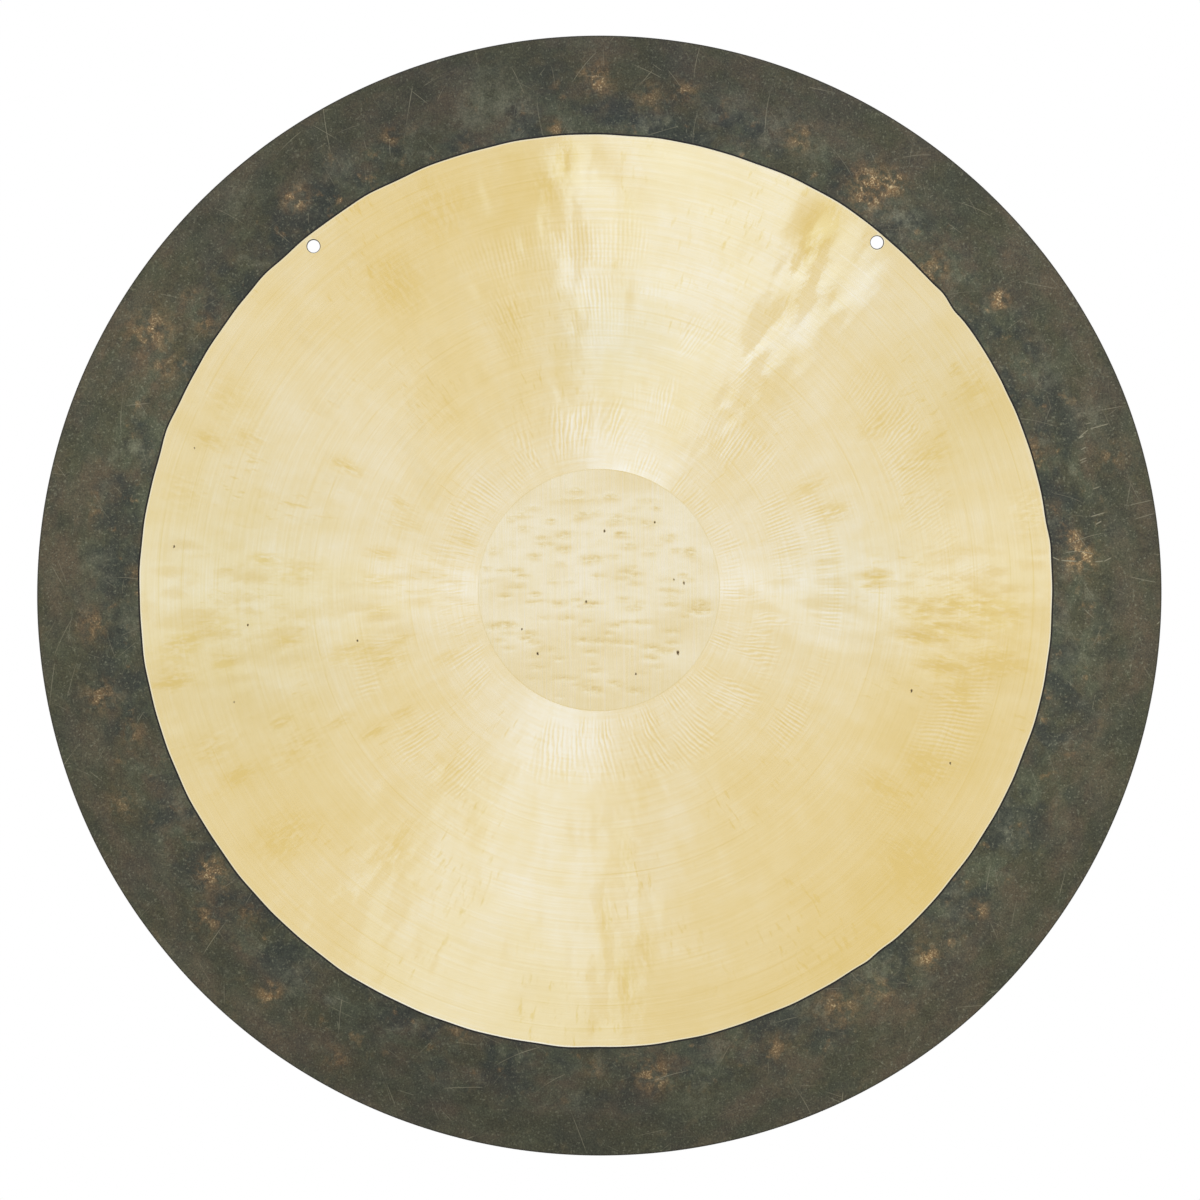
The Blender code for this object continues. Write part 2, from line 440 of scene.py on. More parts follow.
# where a singing tool's ripples lie: place round the axis with ragged borders,
# the bend of the ripples and their strength
def makeChatterPlace():
    group, given, out = newGroup(
        "chatterPlace",
        ("Radius", "Azimuth", "Round"),
        ("Radius", "Azimuth", "Bend", "Strength"),
    )
    unevenness = noise(group, given["Round"], 1.5, 2.0)
    acrossRing, roundTurn = 0.022, 0.5  # metres and radians by which the borders wander
    for label, wander in (("Radius", acrossRing), ("Azimuth", roundTurn)):
        feed(group, out[label], scaled(group, unevenness, wander, minus(group, given[label], wander / 2)))
    slowBend, quickBend = 11.0, 5.0  # radians
    bend = times(group, noise(group, given["Round"], 0.5, 2.0), slowBend)
    bend = scaled(group, noise(group, given["Round"], 3.2, 1.0), quickBend, bend)
    feed(group, out["Bend"], bend)
    feed(group, out["Strength"], cutNoise(group, given["Round"], 0.55, 4.0, 0.62, 0.40, 0.60))
    return group


# the ripples of one ring and one arc: strength * sin(waves * azimuth + lean * radius + bend)
def makeChatterMarks():
    group, given, out = newGroup(
        "chatterMarks",
        ("Plain Azimuth", "Radius", "Azimuth", "Bend", "Strength", "Waves", "Lean",
         "Inner", "Outer", "Middle", "Half Arc", "Depth"),
        ("Height", "Marks"),
    )
    turn = scaled(group, given["Plain Azimuth"], given["Waves"], given["Bend"])
    wave = calc(group, "SINE", scaled(group, given["Radius"], given["Lean"], turn))
    softShare = 0.35  # of the ring's width, at each border
    soft = times(group, minus(group, given["Outer"], given["Inner"]), softShare)
    inside = rise(group, given["Radius"], given["Inner"], plus(group, given["Inner"], soft))
    outside = fall(group, given["Radius"], minus(group, given["Outer"], soft), given["Outer"])
    ring = times(group, inside, outside)
    facing = calc(group, "COSINE", minus(group, given["Azimuth"], given["Middle"]))
    edge = calc(group, "COSINE", given["Half Arc"])
    softBefore, softAfter = 0.06, 0.03  # in cosines
    arc = rise(group, facing, minus(group, edge, softBefore), plus(group, edge, softAfter))
    marks = times(group, wave, times(group, times(group, ring, arc), given["Strength"]))
    feed(group, out["Height"], times(group, marks, given["Depth"]))
    feed(group, out["Marks"], marks)
    return group


lineCore = 0.3  # share of a scratch's half width that is fully bright


# one straight stroke between two places on the sheet, thinning towards its ends:
# distance to the segment = length(place - start - (end - start) * nearest share)
def makeStrokeMark():
    group, given, out = newGroup(
        "strokeMark",
        ("Vector", "Start", "End", "Width"),
        ("Line",),
    )

    def arrows(operation, first, second):
        node = addNode(group, "ShaderNodeVectorMath", operation=operation)
        feed(group, node.inputs[0], first)
        feed(group, node.inputs["Scale"] if operation == "SCALE" else node.inputs[1], second)
        return node.outputs["Value"] if operation in ("DOT_PRODUCT", "DISTANCE") else node.outputs["Vector"]

    flat = arrows("MULTIPLY", given["Vector"], (1.0, 0.0, 1.0))
    here = arrows("SUBTRACT", flat, given["Start"])
    way = arrows("SUBTRACT", given["End"], given["Start"])
    onWay, wholeWay = arrows("DOT_PRODUCT", here, way), arrows("DOT_PRODUCT", way, way)
    share = calc(group, "DIVIDE", onWay, wholeWay, clamp=True)
    distance = arrows("DISTANCE", here, arrows("SCALE", way, share))
    taperFrom = 0.3  # of its length, from the middle
    taper = fall(group, calc(group, "ABSOLUTE", minus(group, share, 0.5)), taperFrom, 0.5)
    thin = fall(group, distance, times(group, given["Width"], lineCore), given["Width"])
    feed(group, out["Line"], times(group, taper, thin))
    return group


# straight scratches, one in each cell of a random mosaic, turned by chance about one direction
def makeScratchLines():
    group, given, out = newGroup(
        "scratchLines",
        ("Vector", "Side", "Cells", "Length", "Width", "Direction", "Spread", "Share"),
        ("Lines",),
    )
    part = split(group, given["Vector"])
    backShift = 2.9
    flat = join(group, plus(group, part[0], times(group, given["Side"], backShift)), part[2], 0.0)
    cells = addNode(group, "ShaderNodeTexVoronoi", voronoi_dimensions="2D", feature="F1")
    feed(group, cells.inputs["Vector"], flat)
    feed(group, cells.inputs["Scale"], given["Cells"])
    seed = addNode(group, "ShaderNodeSeparateColor")
    feed(group, seed.inputs[0], cells.outputs["Color"])
    here, mid = split(group, flat), split(group, cells.outputs["Position"])
    x = minus(group, here[0], mid[0])
    z = minus(group, here[1], mid[1])
    turn = scaled(group, minus(group, seed.outputs[0], 0.5), given["Spread"], given["Direction"])
    sine, cosine = calc(group, "SINE", turn), calc(group, "COSINE", turn)
    along = plus(group, times(group, x, sine), times(group, z, cosine))
    curvature = scaled(group, seed.outputs[2], 16.0, -8.0)  # from -8 to 8 in a metre
    bend = times(group, times(group, along, along), curvature)
    across = minus(group, times(group, x, cosine), times(group, z, sine))
    across = calc(group, "ABSOLUTE", plus(group, across, bend))
    half = times(group, given["Length"], scaled(group, seed.outputs[1], 0.35, 0.15))  # 15% to 50% of it
    fade = fall(group, calc(group, "ABSOLUTE", along), times(group, half, 0.6), half)
    thin = fall(group, across, times(group, given["Width"], lineCore), given["Width"])
    chosen = calc(group, "LESS_THAN", seed.outputs[2], given["Share"])
    feed(group, out["Lines"], times(group, times(group, fade, thin), chosen))
    return group


# soft-edged patches: a noise cut between two levels
def makePatches():
    group, given, out = newGroup(
        "patches",
        ("Vector", "Side", "Scale", "Detail", "Low", "High"),
        ("Mask",),
    )
    part = split(group, given["Vector"])
    backShift = 4.3
    moved = join(group, scaled(group, given["Side"], backShift, part[0]), part[1], part[2])
    mask = cutNoise(group, moved, given["Scale"], given["Detail"], 0.6, given["Low"], given["High"])
    feed(group, out["Mask"], mask)
    return group


# a small dark pit of uneven outline, a little higher than wide: 1 inside and 0 outside
def makePitMark():
    group, given, out = newGroup(
        "pitMark",
        ("Vector", "Uneven", "Pit X", "Pit Z", "Half Height"),
        ("Mask",),
    )
    part = split(group, given["Vector"])
    x = minus(group, part[0], given["Pit X"])
    widthShare, wander, softStart = 0.65, 0.0016, 0.35
    z = times(group, minus(group, part[2], given["Pit Z"]), widthShare)
    away = calc(group, "SQRT", plus(group, times(group, x, x), times(group, z, z)))
    away = scaled(group, minus(group, given["Uneven"], 0.5), wander, away)
    edge = times(group, given["Half Height"], 0.9)
    feed(group, out["Mask"], fall(group, away, times(group, edge, softStart), edge))
    return group


polarPlace = makePolarPlace()
pitMark = makePitMark()
turnedGrooves = makeTurnedGrooves()
chatterPlace = makeChatterPlace()
chatterMarks = makeChatterMarks()
scratchLines = makeScratchLines()
strokeMark = makeStrokeMark()
patches = makePatches()
print("shader groups made")

lathe = {"Centre X": -sheet["holesOffCentre"], "Centre Z": -holeHeight}


def newMaterial(name, roughness):
    material = bpy.data.materials.new(name)
    material.use_nodes = True
    shader = material.node_tree.nodes["Principled BSDF"]
    shader.inputs["Roughness"].default_value = roughness
    return material, material.node_tree, shader


# a number kept on the points of the mesh
def kept(tree, name):
    return addNode(tree, "ShaderNodeAttribute", attribute_name=name).outputs["Fac"]


# place on the sheet and which face of it:
# object coordinates and the kept number that is 1 in front and -1 behind
def whereabouts(tree):
    return addNode(tree, "ShaderNodeTexCoord").outputs["Object"], kept(tree, "side")


# all the pits of a piece, on its front: rows of x, z from the lathe's axis and half height, mm
def pitMarks(tree, place, side, rows):
    deepest = 0.0
    uneven = noise(tree, place, 1100.0, 2.0, 0.7)
    for pitX, pitZ, half in rows:
        given = {
            "Vector": place, "Uneven": uneven, "Pit X": pitX / 1000 - sheet["holesOffCentre"],
            "Pit Z": pitZ / 1000 - holeHeight, "Half Height": half / 1000,
        }
        deepest = larger(tree, deepest, useGroup(tree, pitMark, given)["Mask"])
    return times(tree, deepest, calc(tree, "GREATER_THAN", side, 0.0))


# the group polarPlace for a pattern with so many changes in a metre outwards and in a radian round
def roundTheAxis(tree, place, side, outwards, roundTurn):
    given = {"Vector": place, **lathe, "Side": side, "Radial Scale": outwards, "Turn Scale": roundTurn}
    return useGroup(tree, polarPlace, given)


# a Bump whose height is in metres
def bumpFrom(tree, shader, height):
    node = addNode(tree, "ShaderNodeBump")
    feed(tree, node.inputs["Strength"], 1.0)
    feed(tree, node.inputs["Distance"], 1.0)
    feed(tree, node.inputs["Height"], height)
    feed(tree, shader.inputs["Normal"], node.outputs[0])


# reflections drawn out across the brushing, whose direction comes from the map
def brushedAlong(tree, shader, amount, rotation):
    tangent = addNode(tree, "ShaderNodeTangent", direction_type="UV_MAP", uv_map="OFBake")
    feed(tree, shader.inputs["Tangent"], tangent.outputs[0])
    shader.inputs["Anisotropic"].default_value = amount
    shader.inputs["Anisotropic Rotation"].default_value = rotation


# the dark rim

rimLook = {
    "scaleColour": (0.068, 0.067, 0.036),
    "greenColour": (0.086, 0.097, 0.058),
    "brownColour": (0.098, 0.078, 0.046),
    "darkColour": (0.030, 0.037, 0.030),
    "paleColour": (0.240, 0.245, 0.168),
    "copperColour": (0.42, 0.235, 0.095),
    "fleckColour": (0.78, 0.62, 0.34),
    "scratchColour": (0.34, 0.32, 0.22),
    # near black line along the seam with the face: the scale's cut edge, deepened with painted shadow of the
    # step; the outer edge's dark line takes the same colour
    "cutLineColour": (0.010, 0.008, 0.005),
    "cutLineWidth": 0.0014,
    "cutLineCore": 0.6,  # share of its width that is fully dark
    "roughness": 0.56,
    "broadRoughness": -0.10,  # change by the broad patches
    "metallic": (0.5, 0.15),  # more where copper shows, and everywhere
    "specular": 0.35,
    "dentSeed": 11,
    "dentCount": 420,
    "dentRing": (0.285, 0.352),
    "dentReach": (0.004, 0.010),
    "dentDepth": (0.00004, 0.00016),
    "edgeFade": (0.006, 0.040),  # from the edge inwards: where the dents begin and are full
    "seamSteps": (0, 0.0004, 0.0011),
    "frontRings": 50,
    "backRings": 28,
    "roundingSteps": 5,
    # painted light: the rim paler towards its sides and darker towards top and bottom: azimuth, radius, half
    # width in degrees, reach, change
    "paintedSideLight": (
        (-68, 0.320, 26, 0.060, 0.24), (62, 0.325, 24, 0.060, 0.20), (98, 0.320, 22, 0.060, 0.22),
        (118, 0.295, 26, 0.024, 0.12), (140, 0.305, 24, 0.030, 0.18), (-18, 0.325, 14, 0.060, -0.20),
        (-42, 0.325, 10, 0.060, -0.12), (10, 0.342, 12, 0.026, -0.16), (178, 0.325, 16, 0.060, -0.16),
        (-158, 0.325, 18, 0.060, -0.20),
    ),
    # azimuth, radius, reach, strength
    "copperStains": (
        (-37, 0.3167, 0.0076, 1.0), (-24, 0.3191, 0.0063, 0.6), (0, 0.3278, 0.0101, 0.8),
        (10, 0.3241, 0.0076, 0.6), (6, 0.3187, 0.0089, 0.5), (24, 0.3166, 0.0089, 0.6),
        (34, 0.3095, 0.0139, 1.0), (36, 0.3223, 0.0063, 0.8), (46, 0.2953, 0.0101, 0.7),
        (54, 0.3153, 0.0063, 0.9), (72, 0.2898, 0.0063, 0.6), (86, 0.3051, 0.0089, 1.0),
        (83, 0.3013, 0.0057, 0.7), (75, 0.3365, 0.0101, 0.4), (-59, 0.3305, 0.0139, 0.6),
        (-55, 0.3028, 0.0063, 0.5), (-62, 0.3113, 0.0101, 0.4), (-93, 0.3214, 0.0089, 0.6),
        (-101, 0.3216, 0.0101, 0.6), (-106, 0.3077, 0.0076, 0.5), (-87, 0.2942, 0.0051, 0.5),
        (-125, 0.3013, 0.0089, 0.9), (-129, 0.3210, 0.0101, 0.6), (-132, 0.2996, 0.0063, 0.6),
        (-140, 0.3268, 0.0076, 0.9), (-162, 0.2895, 0.0063, 0.5), (174, 0.3049, 0.0101, 0.9),
        (-179, 0.3001, 0.0076, 0.4), (159, 0.3070, 0.0076, 0.5), (150, 0.3015, 0.0114, 0.6),
        (138, 0.3091, 0.0076, 0.7), (130, 0.3122, 0.0063, 0.6), (-5, 0.2972, 0.0051, 0.7),
        (145, 0.3062, 0.0089, 0.5), (-150, 0.3368, 0.0089, 0.4), (-113, 0.3297, 0.0101, 0.4),
    ),
    "paleSmudges": (
        (-12, 0.3245, 0.0165, 0.8), (-9, 0.3117, 0.0101, 0.8), (-15, 0.3122, 0.0101, 0.5),
        (21, 0.3193, 0.0114, 0.6), (26, 0.3136, 0.0101, 0.7), (39, 0.3057, 0.0127, 0.9),
        (16, 0.3233, 0.0101, 0.4), (64, 0.3135, 0.0101, 0.5), (70, 0.3310, 0.0114, 0.5),
        (93, 0.2888, 0.0114, 0.6), (97, 0.3065, 0.0101, 0.5), (120, 0.3003, 0.0101, 0.7),
        (144, 0.2878, 0.0114, 0.6), (154, 0.2855, 0.0101, 0.5), (-177, 0.3194, 0.0114, 0.5),
        (169, 0.3222, 0.0114, 0.5), (-42, 0.3408, 0.0114, 0.5), (-31, 0.3167, 0.0089, 0.5),
        (-86, 0.3200, 0.0114, 0.4), (-93, 0.2974, 0.0101, 0.5), (-116, 0.2951, 0.0114, 0.5),
        (-141, 0.3096, 0.0114, 0.6), (-161, 0.3215, 0.0114, 0.4), (131, 0.2937, 0.0101, 0.5),
    ),
    "darkPatches": (
        (5, 0.3024, 0.0076, 1.0), (1, 0.3026, 0.0076, 0.7), (-5, 0.3309, 0.0165, 0.6),
        (12, 0.3017, 0.0089, 0.7), (19, 0.3060, 0.0089, 0.6), (70, 0.3010, 0.0089, 0.8),
        (44, 0.3275, 0.0089, 0.6), (-82, 0.2999, 0.0089, 0.6), (-92, 0.3035, 0.0089, 0.7),
        (-96, 0.2857, 0.0076, 0.5), (-122, 0.2767, 0.0101, 0.5), (-151, 0.3081, 0.0101, 0.5),
        (-175, 0.2947, 0.0089, 0.6), (168, 0.2974, 0.0076, 0.5), (139, 0.2802, 0.0089, 0.7),
        (111, 0.2917, 0.0089, 0.6), (-23, 0.3266, 0.0101, 0.6),
    ),
    # thin short scratches: cells in a metre, length, half width, direction, spread, share, strength
    "scratches": (
        (22, 0.050, 0.00030, 45, 120, 0.60, 1.0), (34, 0.034, 0.00028, 60, 200, 0.55, 0.8),
        (64, 0.020, 0.00028, 40, 280, 0.45, 0.6),
    ),
    # soft patches: scale, detail, low and high level of the noise, whether the noise is moved aside
    "patches": {
        "middling": (46, 4.0, 0.36, 0.58, True), "mottle": (170, 2.0, 0.28, 0.72, False),
        "speckle": (950, 2.0, 0.28, 0.72, False), "grit": (620, 3.0, 0.56, 0.68, True),
        "darkBits": (160, 4.0, 0.28, 0.58, False), "paleBits": (150, 5.0, 0.34, 0.66, True),
        "palePatches": (58, 5.0, 0.53, 0.74, False), "copperBits": (140, 8.0, 0.40, 0.60, False),
        "copperPatches": (85, 8.0, 0.58, 0.74, False), "flecks": (900, 3.0, 0.50, 0.66, True),
        "fading": (30, 3.0, 0.40, 0.64, True),
    },
    "asideBy": (1.7, 0.4, -2.3),  # metres
    # broad patches: scale, detail and roughness of the noise, and its low and high level
    "broad": (1.0, 3.0, 0.6, 0.38, 0.64),
    "greenish": (1.7, 4.0, 0.62, 0.42, 0.66),
    # how much more of each patch shows near the face, and how much everywhere
    "greenAmount": (0.45, 0.40),
    "darkAmount": (0.46, 0.34),
    "palePatchAmount": (0.55, 0.1),
    "copperPatchAmount": (0.5, 0.1),
    # how much of each colour shows where its patch is full
    "paleAmount": 0.62,
    "gritAmount": 0.42,
    "stainAmount": 0.45,
    "copperAmount": 0.56,
    "fleckAmount": 0.62,
    "outerEdgeAmount": 0.6,
    "outerEdge": (0.0013, 0.0005),  # from the edge inwards: where its dark line begins and is full
    "broadChanges": (42.0, 8.0),  # of the broad patches, in a metre outwards and in a radian round
    "blotchyWithin": (0.018, 0.045),  # from the face outwards: the inner part of the rim is blotchier
    "fleckWithin": (0.15, 0.7),  # share of copper between which flecks set in
    "plainShade": 0.60,
    "mottleShade": 0.22,
    "speckleShade": 0.62,
    "scratchAmount": (0.55, 0.10),  # more where they are less faded, and everywhere
    "grainDepth": 0.00003,
    "pitNoise": (220.0, 3.0, 0.6),
    "pitDepth": 0.00012,
    "scratchDepth": 0.00002,
    # single long scratches, in mm from the middle of the outer edge:
    # start and end (x, z), half width, strength
    "strokes": (
        (303.7, 97.7, 310.6, 103.5, 0.45, 0.9), (310.6, 103.5, 324.3, 107.2, 0.45, 0.9),
        (308.5, 106.6, 312.2, 107.7, 0.40, 0.8), (303.7, 97.7, 307.4, 99.2, 0.50, 1.0),
        (305.3, 90.3, 309.0, 92.4, 0.45, 0.9), (304.2, 83.4, 309.5, 85.6, 0.40, 0.9),
        (304.8, 81.8, 309.5, 84.0, 0.40, 0.7), (312.7, 65.5, 317.4, 67.1, 0.45, 0.8),
        (310.6, 47.9, 321.1, 50.8, 0.45, 1.0), (314.2, 43.0, 318.5, 45.4, 0.55, 1.0),
        (286.8, 22.8, 291.6, 20.6, 0.50, 0.9), (291.6, 20.6, 303.0, 19.9, 0.55, 1.0),
        (313.7, 19.6, 319.4, 19.9, 0.50, 0.9), (319.4, 19.6, 324.5, 22.2, 0.50, 0.9),
        (294.7, 25.4, 303.2, 26.5, 0.40, 0.7), (303.2, 26.5, 313.7, 24.4, 0.40, 0.7),
        (334.8, 54.9, 351.7, 58.7, 0.35, 0.6), (338.0, 46.0, 352.8, 50.2, 0.35, 0.6),
        (334.8, 10.1, 354.0, 5.9, 0.35, 0.6), (306.3, -9.9, 313.7, -16.8, 0.35, 0.6),
        (352.8, -20.4, 355.0, -18.4, 0.45, 0.8), (-283.0, 124.0, -300.0, 122.5, 0.35, 0.5),
    ),
}


backTurn = 110  # degrees


# the back's patterns are those of the front turned and mirrored
def turnedBehind(x, y, side):
    turn = math.radians(backTurn)
    behindX, behindY = -x * math.cos(turn) - y * math.sin(turn), -x * math.sin(turn) + y * math.cos(turn)
    return np.where(side < 0, behindX, x), np.where(side < 0, behindY, y)


# sum of soft spots: strength * exp(-(distance / reach)^2), kept below 1
def spotField(x, y, spots, centre):
    field = np.zeros_like(x)
    for azimuth, radius, reach, strength in spots:
        spotX, spotY = atAzimuth(azimuth, radius)
        square = (x - centre[0] - spotX) ** 2 + (y - centre[1] - spotY) ** 2
        field += strength * np.exp(-square / reach**2)
    return np.minimum(field, 1)


# sum of amount * exp(-(turn from its azimuth / half width)^2 - (distance from its radius / reach)^2)
def polarField(x, y, rows):
    radius, azimuth = np.hypot(x, y), np.degrees(np.arctan2(x, y))
    field = np.zeros_like(x)
    for middle, ring, half, reach, amount in rows:
        turn = (azimuth - middle + 180) % 360 - 180
        field += amount * np.exp(-((turn / half) ** 2) - ((radius - ring) / reach) ** 2)
    return field


# random dents (x, y, reach, depth) in the ring between two radii, spread evenly over its area
def randomDents(look):
    chance = np.random.default_rng(look["dentSeed"])
    count, (inner, outer) = look["dentCount"], look["dentRing"]
    radius = np.sqrt(chance.uniform(inner**2, outer**2, count))
    angle = chance.uniform(0, 2 * math.pi, count)
    reach = chance.uniform(*look["dentReach"], count)
    depth = chance.uniform(*look["dentDepth"], count)
    return np.stack([radius * np.cos(angle), radius * np.sin(angle), reach, depth], 1)


def rimSection():
    inner = sheet["faceRadius"]
    start = sheet["radius"] - sheet["edgeInset"] - sheet["edgeRounding"]
    near = inner + np.array(rimLook["seamSteps"])
    front = np.append(near, np.linspace(near[-1], start, rimLook["frontRings"] + 1)[1:])
    back = np.append(near, np.linspace(near[-1], start, rimLook["backRings"] + 1)[1:])
    turn = np.linspace(0, math.pi / 2, rimLook["roundingSteps"] + 1)[1:]
    half, edgeSide = sheet["edgeThickness"] / 2, np.cos(turn)
    edgeRadius = start + sheet["edgeRounding"] * np.sin(turn)
    edgeHeight = half - sheet["edgeRounding"] * (1 - edgeSide)
    radius = np.concatenate([[inner], front, edgeRadius, [edgeRadius[-1]], edgeRadius[::-1], back[::-1]])
    offset = np.concatenate(
        [[0], halfThickness(front), edgeHeight, [0], -edgeHeight[::-1], -halfThickness(back[::-1])]
    )
    middle = 1 + len(front) + len(edgeRadius)
    side = np.concatenate([[0], np.ones(len(front)), edgeSide, [0], -edgeSide[::-1], -np.ones(len(back))])
    return radius, offset, side, middle


rimDents = randomDents(rimLook)


# the rim's own dents, fading out at the edge and at the seam, so that the pieces meet
def rimRelief(x, y):
    radius = np.hypot(x, y)
    fromSeam = smoothStep(radius - sheet["faceRadius"], *sheet["seamFade"])
    fromEdge = smoothStep(sheet["radius"] - radius, *rimLook["edgeFade"])
    return fromSeam * fromEdge * dentField(x, y, rimDents)


def rimValues(x, y, radius, side):
    centre = sheet["rimShift"]
    x, y = turnedBehind(x, y, side)
    return {
        "side": side,
        "seamDistance": radius - sheet["faceRadius"],
        "copper": spotField(x, y, rimLook["copperStains"], centre),
        "pale": spotField(x, y, rimLook["paleSmudges"], centre),
        "dark": spotField(x, y, rimLook["darkPatches"], centre),
        # painted light: the rim paler at its sides, darker at top and bottom
        "thin": polarField(x - centre[0], y - centre[1], rimLook["paintedSideLight"]),
    }


def rimMaterial():
    look = rimLook
    material, tree, shader = newMaterial("rimScale", look["roughness"])
    place, side = whereabouts(tree)
    seam = kept(tree, "seamDistance")
    aside = addNode(tree, "ShaderNodeMapping")
    feed(tree, aside.inputs["Vector"], place)
    aside.inputs["Location"].default_value = look["asideBy"]

    def patch(name):
        scale, detail, low, high, moved = look["patches"][name]
        vector = aside.outputs[0] if moved else place
        given = {"Vector": vector, "Side": side, "Scale": scale, "Detail": detail, "Low": low, "High": high}
        return useGroup(tree, patches, given)["Mask"]

    nearFace = fall(tree, seam, *look["blotchyWithin"])
    around = roundTheAxis(tree, place, side, *look["broadChanges"])["Round"]
    broad = cutNoise(tree, around, *look["broad"])
    greenish = cutNoise(tree, around, *look["greenish"])
    mottle, speckle = patch("mottle"), patch("speckle")

    colour = blend(tree, broad, look["scaleColour"], look["brownColour"])
    green = times(tree, greenish, scaled(tree, nearFace, *look["greenAmount"]))
    colour = blend(tree, green, colour, look["greenColour"])
    dark = times(tree, minus(tree, 1.0, patch("middling")), scaled(tree, nearFace, *look["darkAmount"]))
    dark = larger(tree, dark, times(tree, kept(tree, "dark"), patch("darkBits")))
    colour = blend(tree, dark, colour, look["darkColour"])
    # real pale smudges on the rim; the face's painted reflection blotches share this name
    smudgeAndReflectionBlotch = times(tree, kept(tree, "pale"), patch("paleBits"))
    palePatches = times(tree, patch("palePatches"), scaled(tree, nearFace, *look["palePatchAmount"]))
    smudgeAndReflectionBlotch = larger(tree, smudgeAndReflectionBlotch, palePatches)
    colour = blend(tree, times(tree, smudgeAndReflectionBlotch, look["paleAmount"]), colour, look["paleColour"])
    colour = blend(tree, times(tree, patch("grit"), look["gritAmount"]), colour, look["paleColour"])
    stain = kept(tree, "copper")
    colour = blend(tree, times(tree, stain, look["stainAmount"]), colour, look["brownColour"])
    copper = times(tree, stain, patch("copperBits"))
    copperPatches = times(tree, patch("copperPatches"), scaled(tree, nearFace, *look["copperPatchAmount"]))
    copper = larger(tree, copper, copperPatches)
    colour = blend(tree, times(tree, copper, look["copperAmount"]), colour, look["copperColour"])
    fleck = times(tree, rise(tree, copper, *look["fleckWithin"]), patch("flecks"))
    colour = blend(tree, times(tree, fleck, look["fleckAmount"]), colour, look["fleckColour"])
    shade = scaled(tree, mottle, look["mottleShade"], look["plainShade"])
    shade = plus(tree, times(tree, speckle, look["speckleShade"]), shade)
    # painted light: the shade lifted towards the rim's sides and lowered towards top and bottom
    shade = times(tree, shade, plus(tree, kept(tree, "thin"), 1.0))
    colour = blend(tree, 1.0, colour, join(tree, shade, shade, shade), "MULTIPLY")

    def lines(cells, length, width, direction, spread, share):
        given = {
            "Vector": place, "Side": side, "Cells": cells, "Length": length, "Width": width,
            "Direction": math.radians(direction), "Spread": math.radians(spread), "Share": share,
        }
        return useGroup(tree, scratchLines, given)["Lines"]

    scratches = 0.0
    for *row, strength in look["scratches"]:
        scratches = larger(tree, scratches, times(tree, lines(*row), strength))
    scratches = times(tree, scratches, scaled(tree, patch("fading"), *look["scratchAmount"]))
    x0, z0 = sheet["rimShift"][0] - sheet["holesOffCentre"], sheet["rimShift"][1] - holeHeight
    for x1, z1, x2, z2, half, strength in look["strokes"]:
        start, end = (x0 + x1 / 1000, 0, z0 + z1 / 1000), (x0 + x2 / 1000, 0, z0 + z2 / 1000)
        given = {"Vector": place, "Start": start, "End": end, "Width": half / 1000}
        line = useGroup(tree, strokeMark, given)["Line"]
        line = times(tree, times(tree, line, strength), calc(tree, "GREATER_THAN", side, 0.0))
        scratches = larger(tree, scratches, line)
    colour = blend(tree, scratches, colour, look["scratchColour"])
    # the scale's cut edge along the seam, darkened further as painted shadow
    cutLine = fall(tree, seam, look["cutLineWidth"] * look["cutLineCore"], look["cutLineWidth"])
    colour = blend(tree, cutLine, colour, look["cutLineColour"])
    outerEdge = rise(tree, seam, *(rimWidth - inwards for inwards in look["outerEdge"]))
    colour = blend(tree, times(tree, outerEdge, look["outerEdgeAmount"]), colour, look["cutLineColour"])
    feed(tree, shader.inputs["Base Color"], colour)
    feed(tree, shader.inputs["Metallic"], scaled(tree, copper, *look["metallic"]))
    feed(tree, shader.inputs["Roughness"], scaled(tree, broad, look["broadRoughness"], look["roughness"]))
    shader.inputs["Specular IOR Level"].default_value = look["specular"]
    grain = times(tree, speckle, look["grainDepth"])
    pits = times(tree, noise(tree, place, *look["pitNoise"]), look["pitDepth"])
    height = minus(tree, plus(tree, grain, pits), times(tree, scratches, look["scratchDepth"]))
    bumpFrom(tree, shader, height)
    return material


gongRim = ringPiece("gong_rim", rimSection(), sheet["around"], rimRelief, rimValues)
gongRim.data.materials.append(rimMaterial())
finishPiece(gongRim, 30)
print("dark rim made,", len(gongRim.data.polygons), "faces")


# the turned face

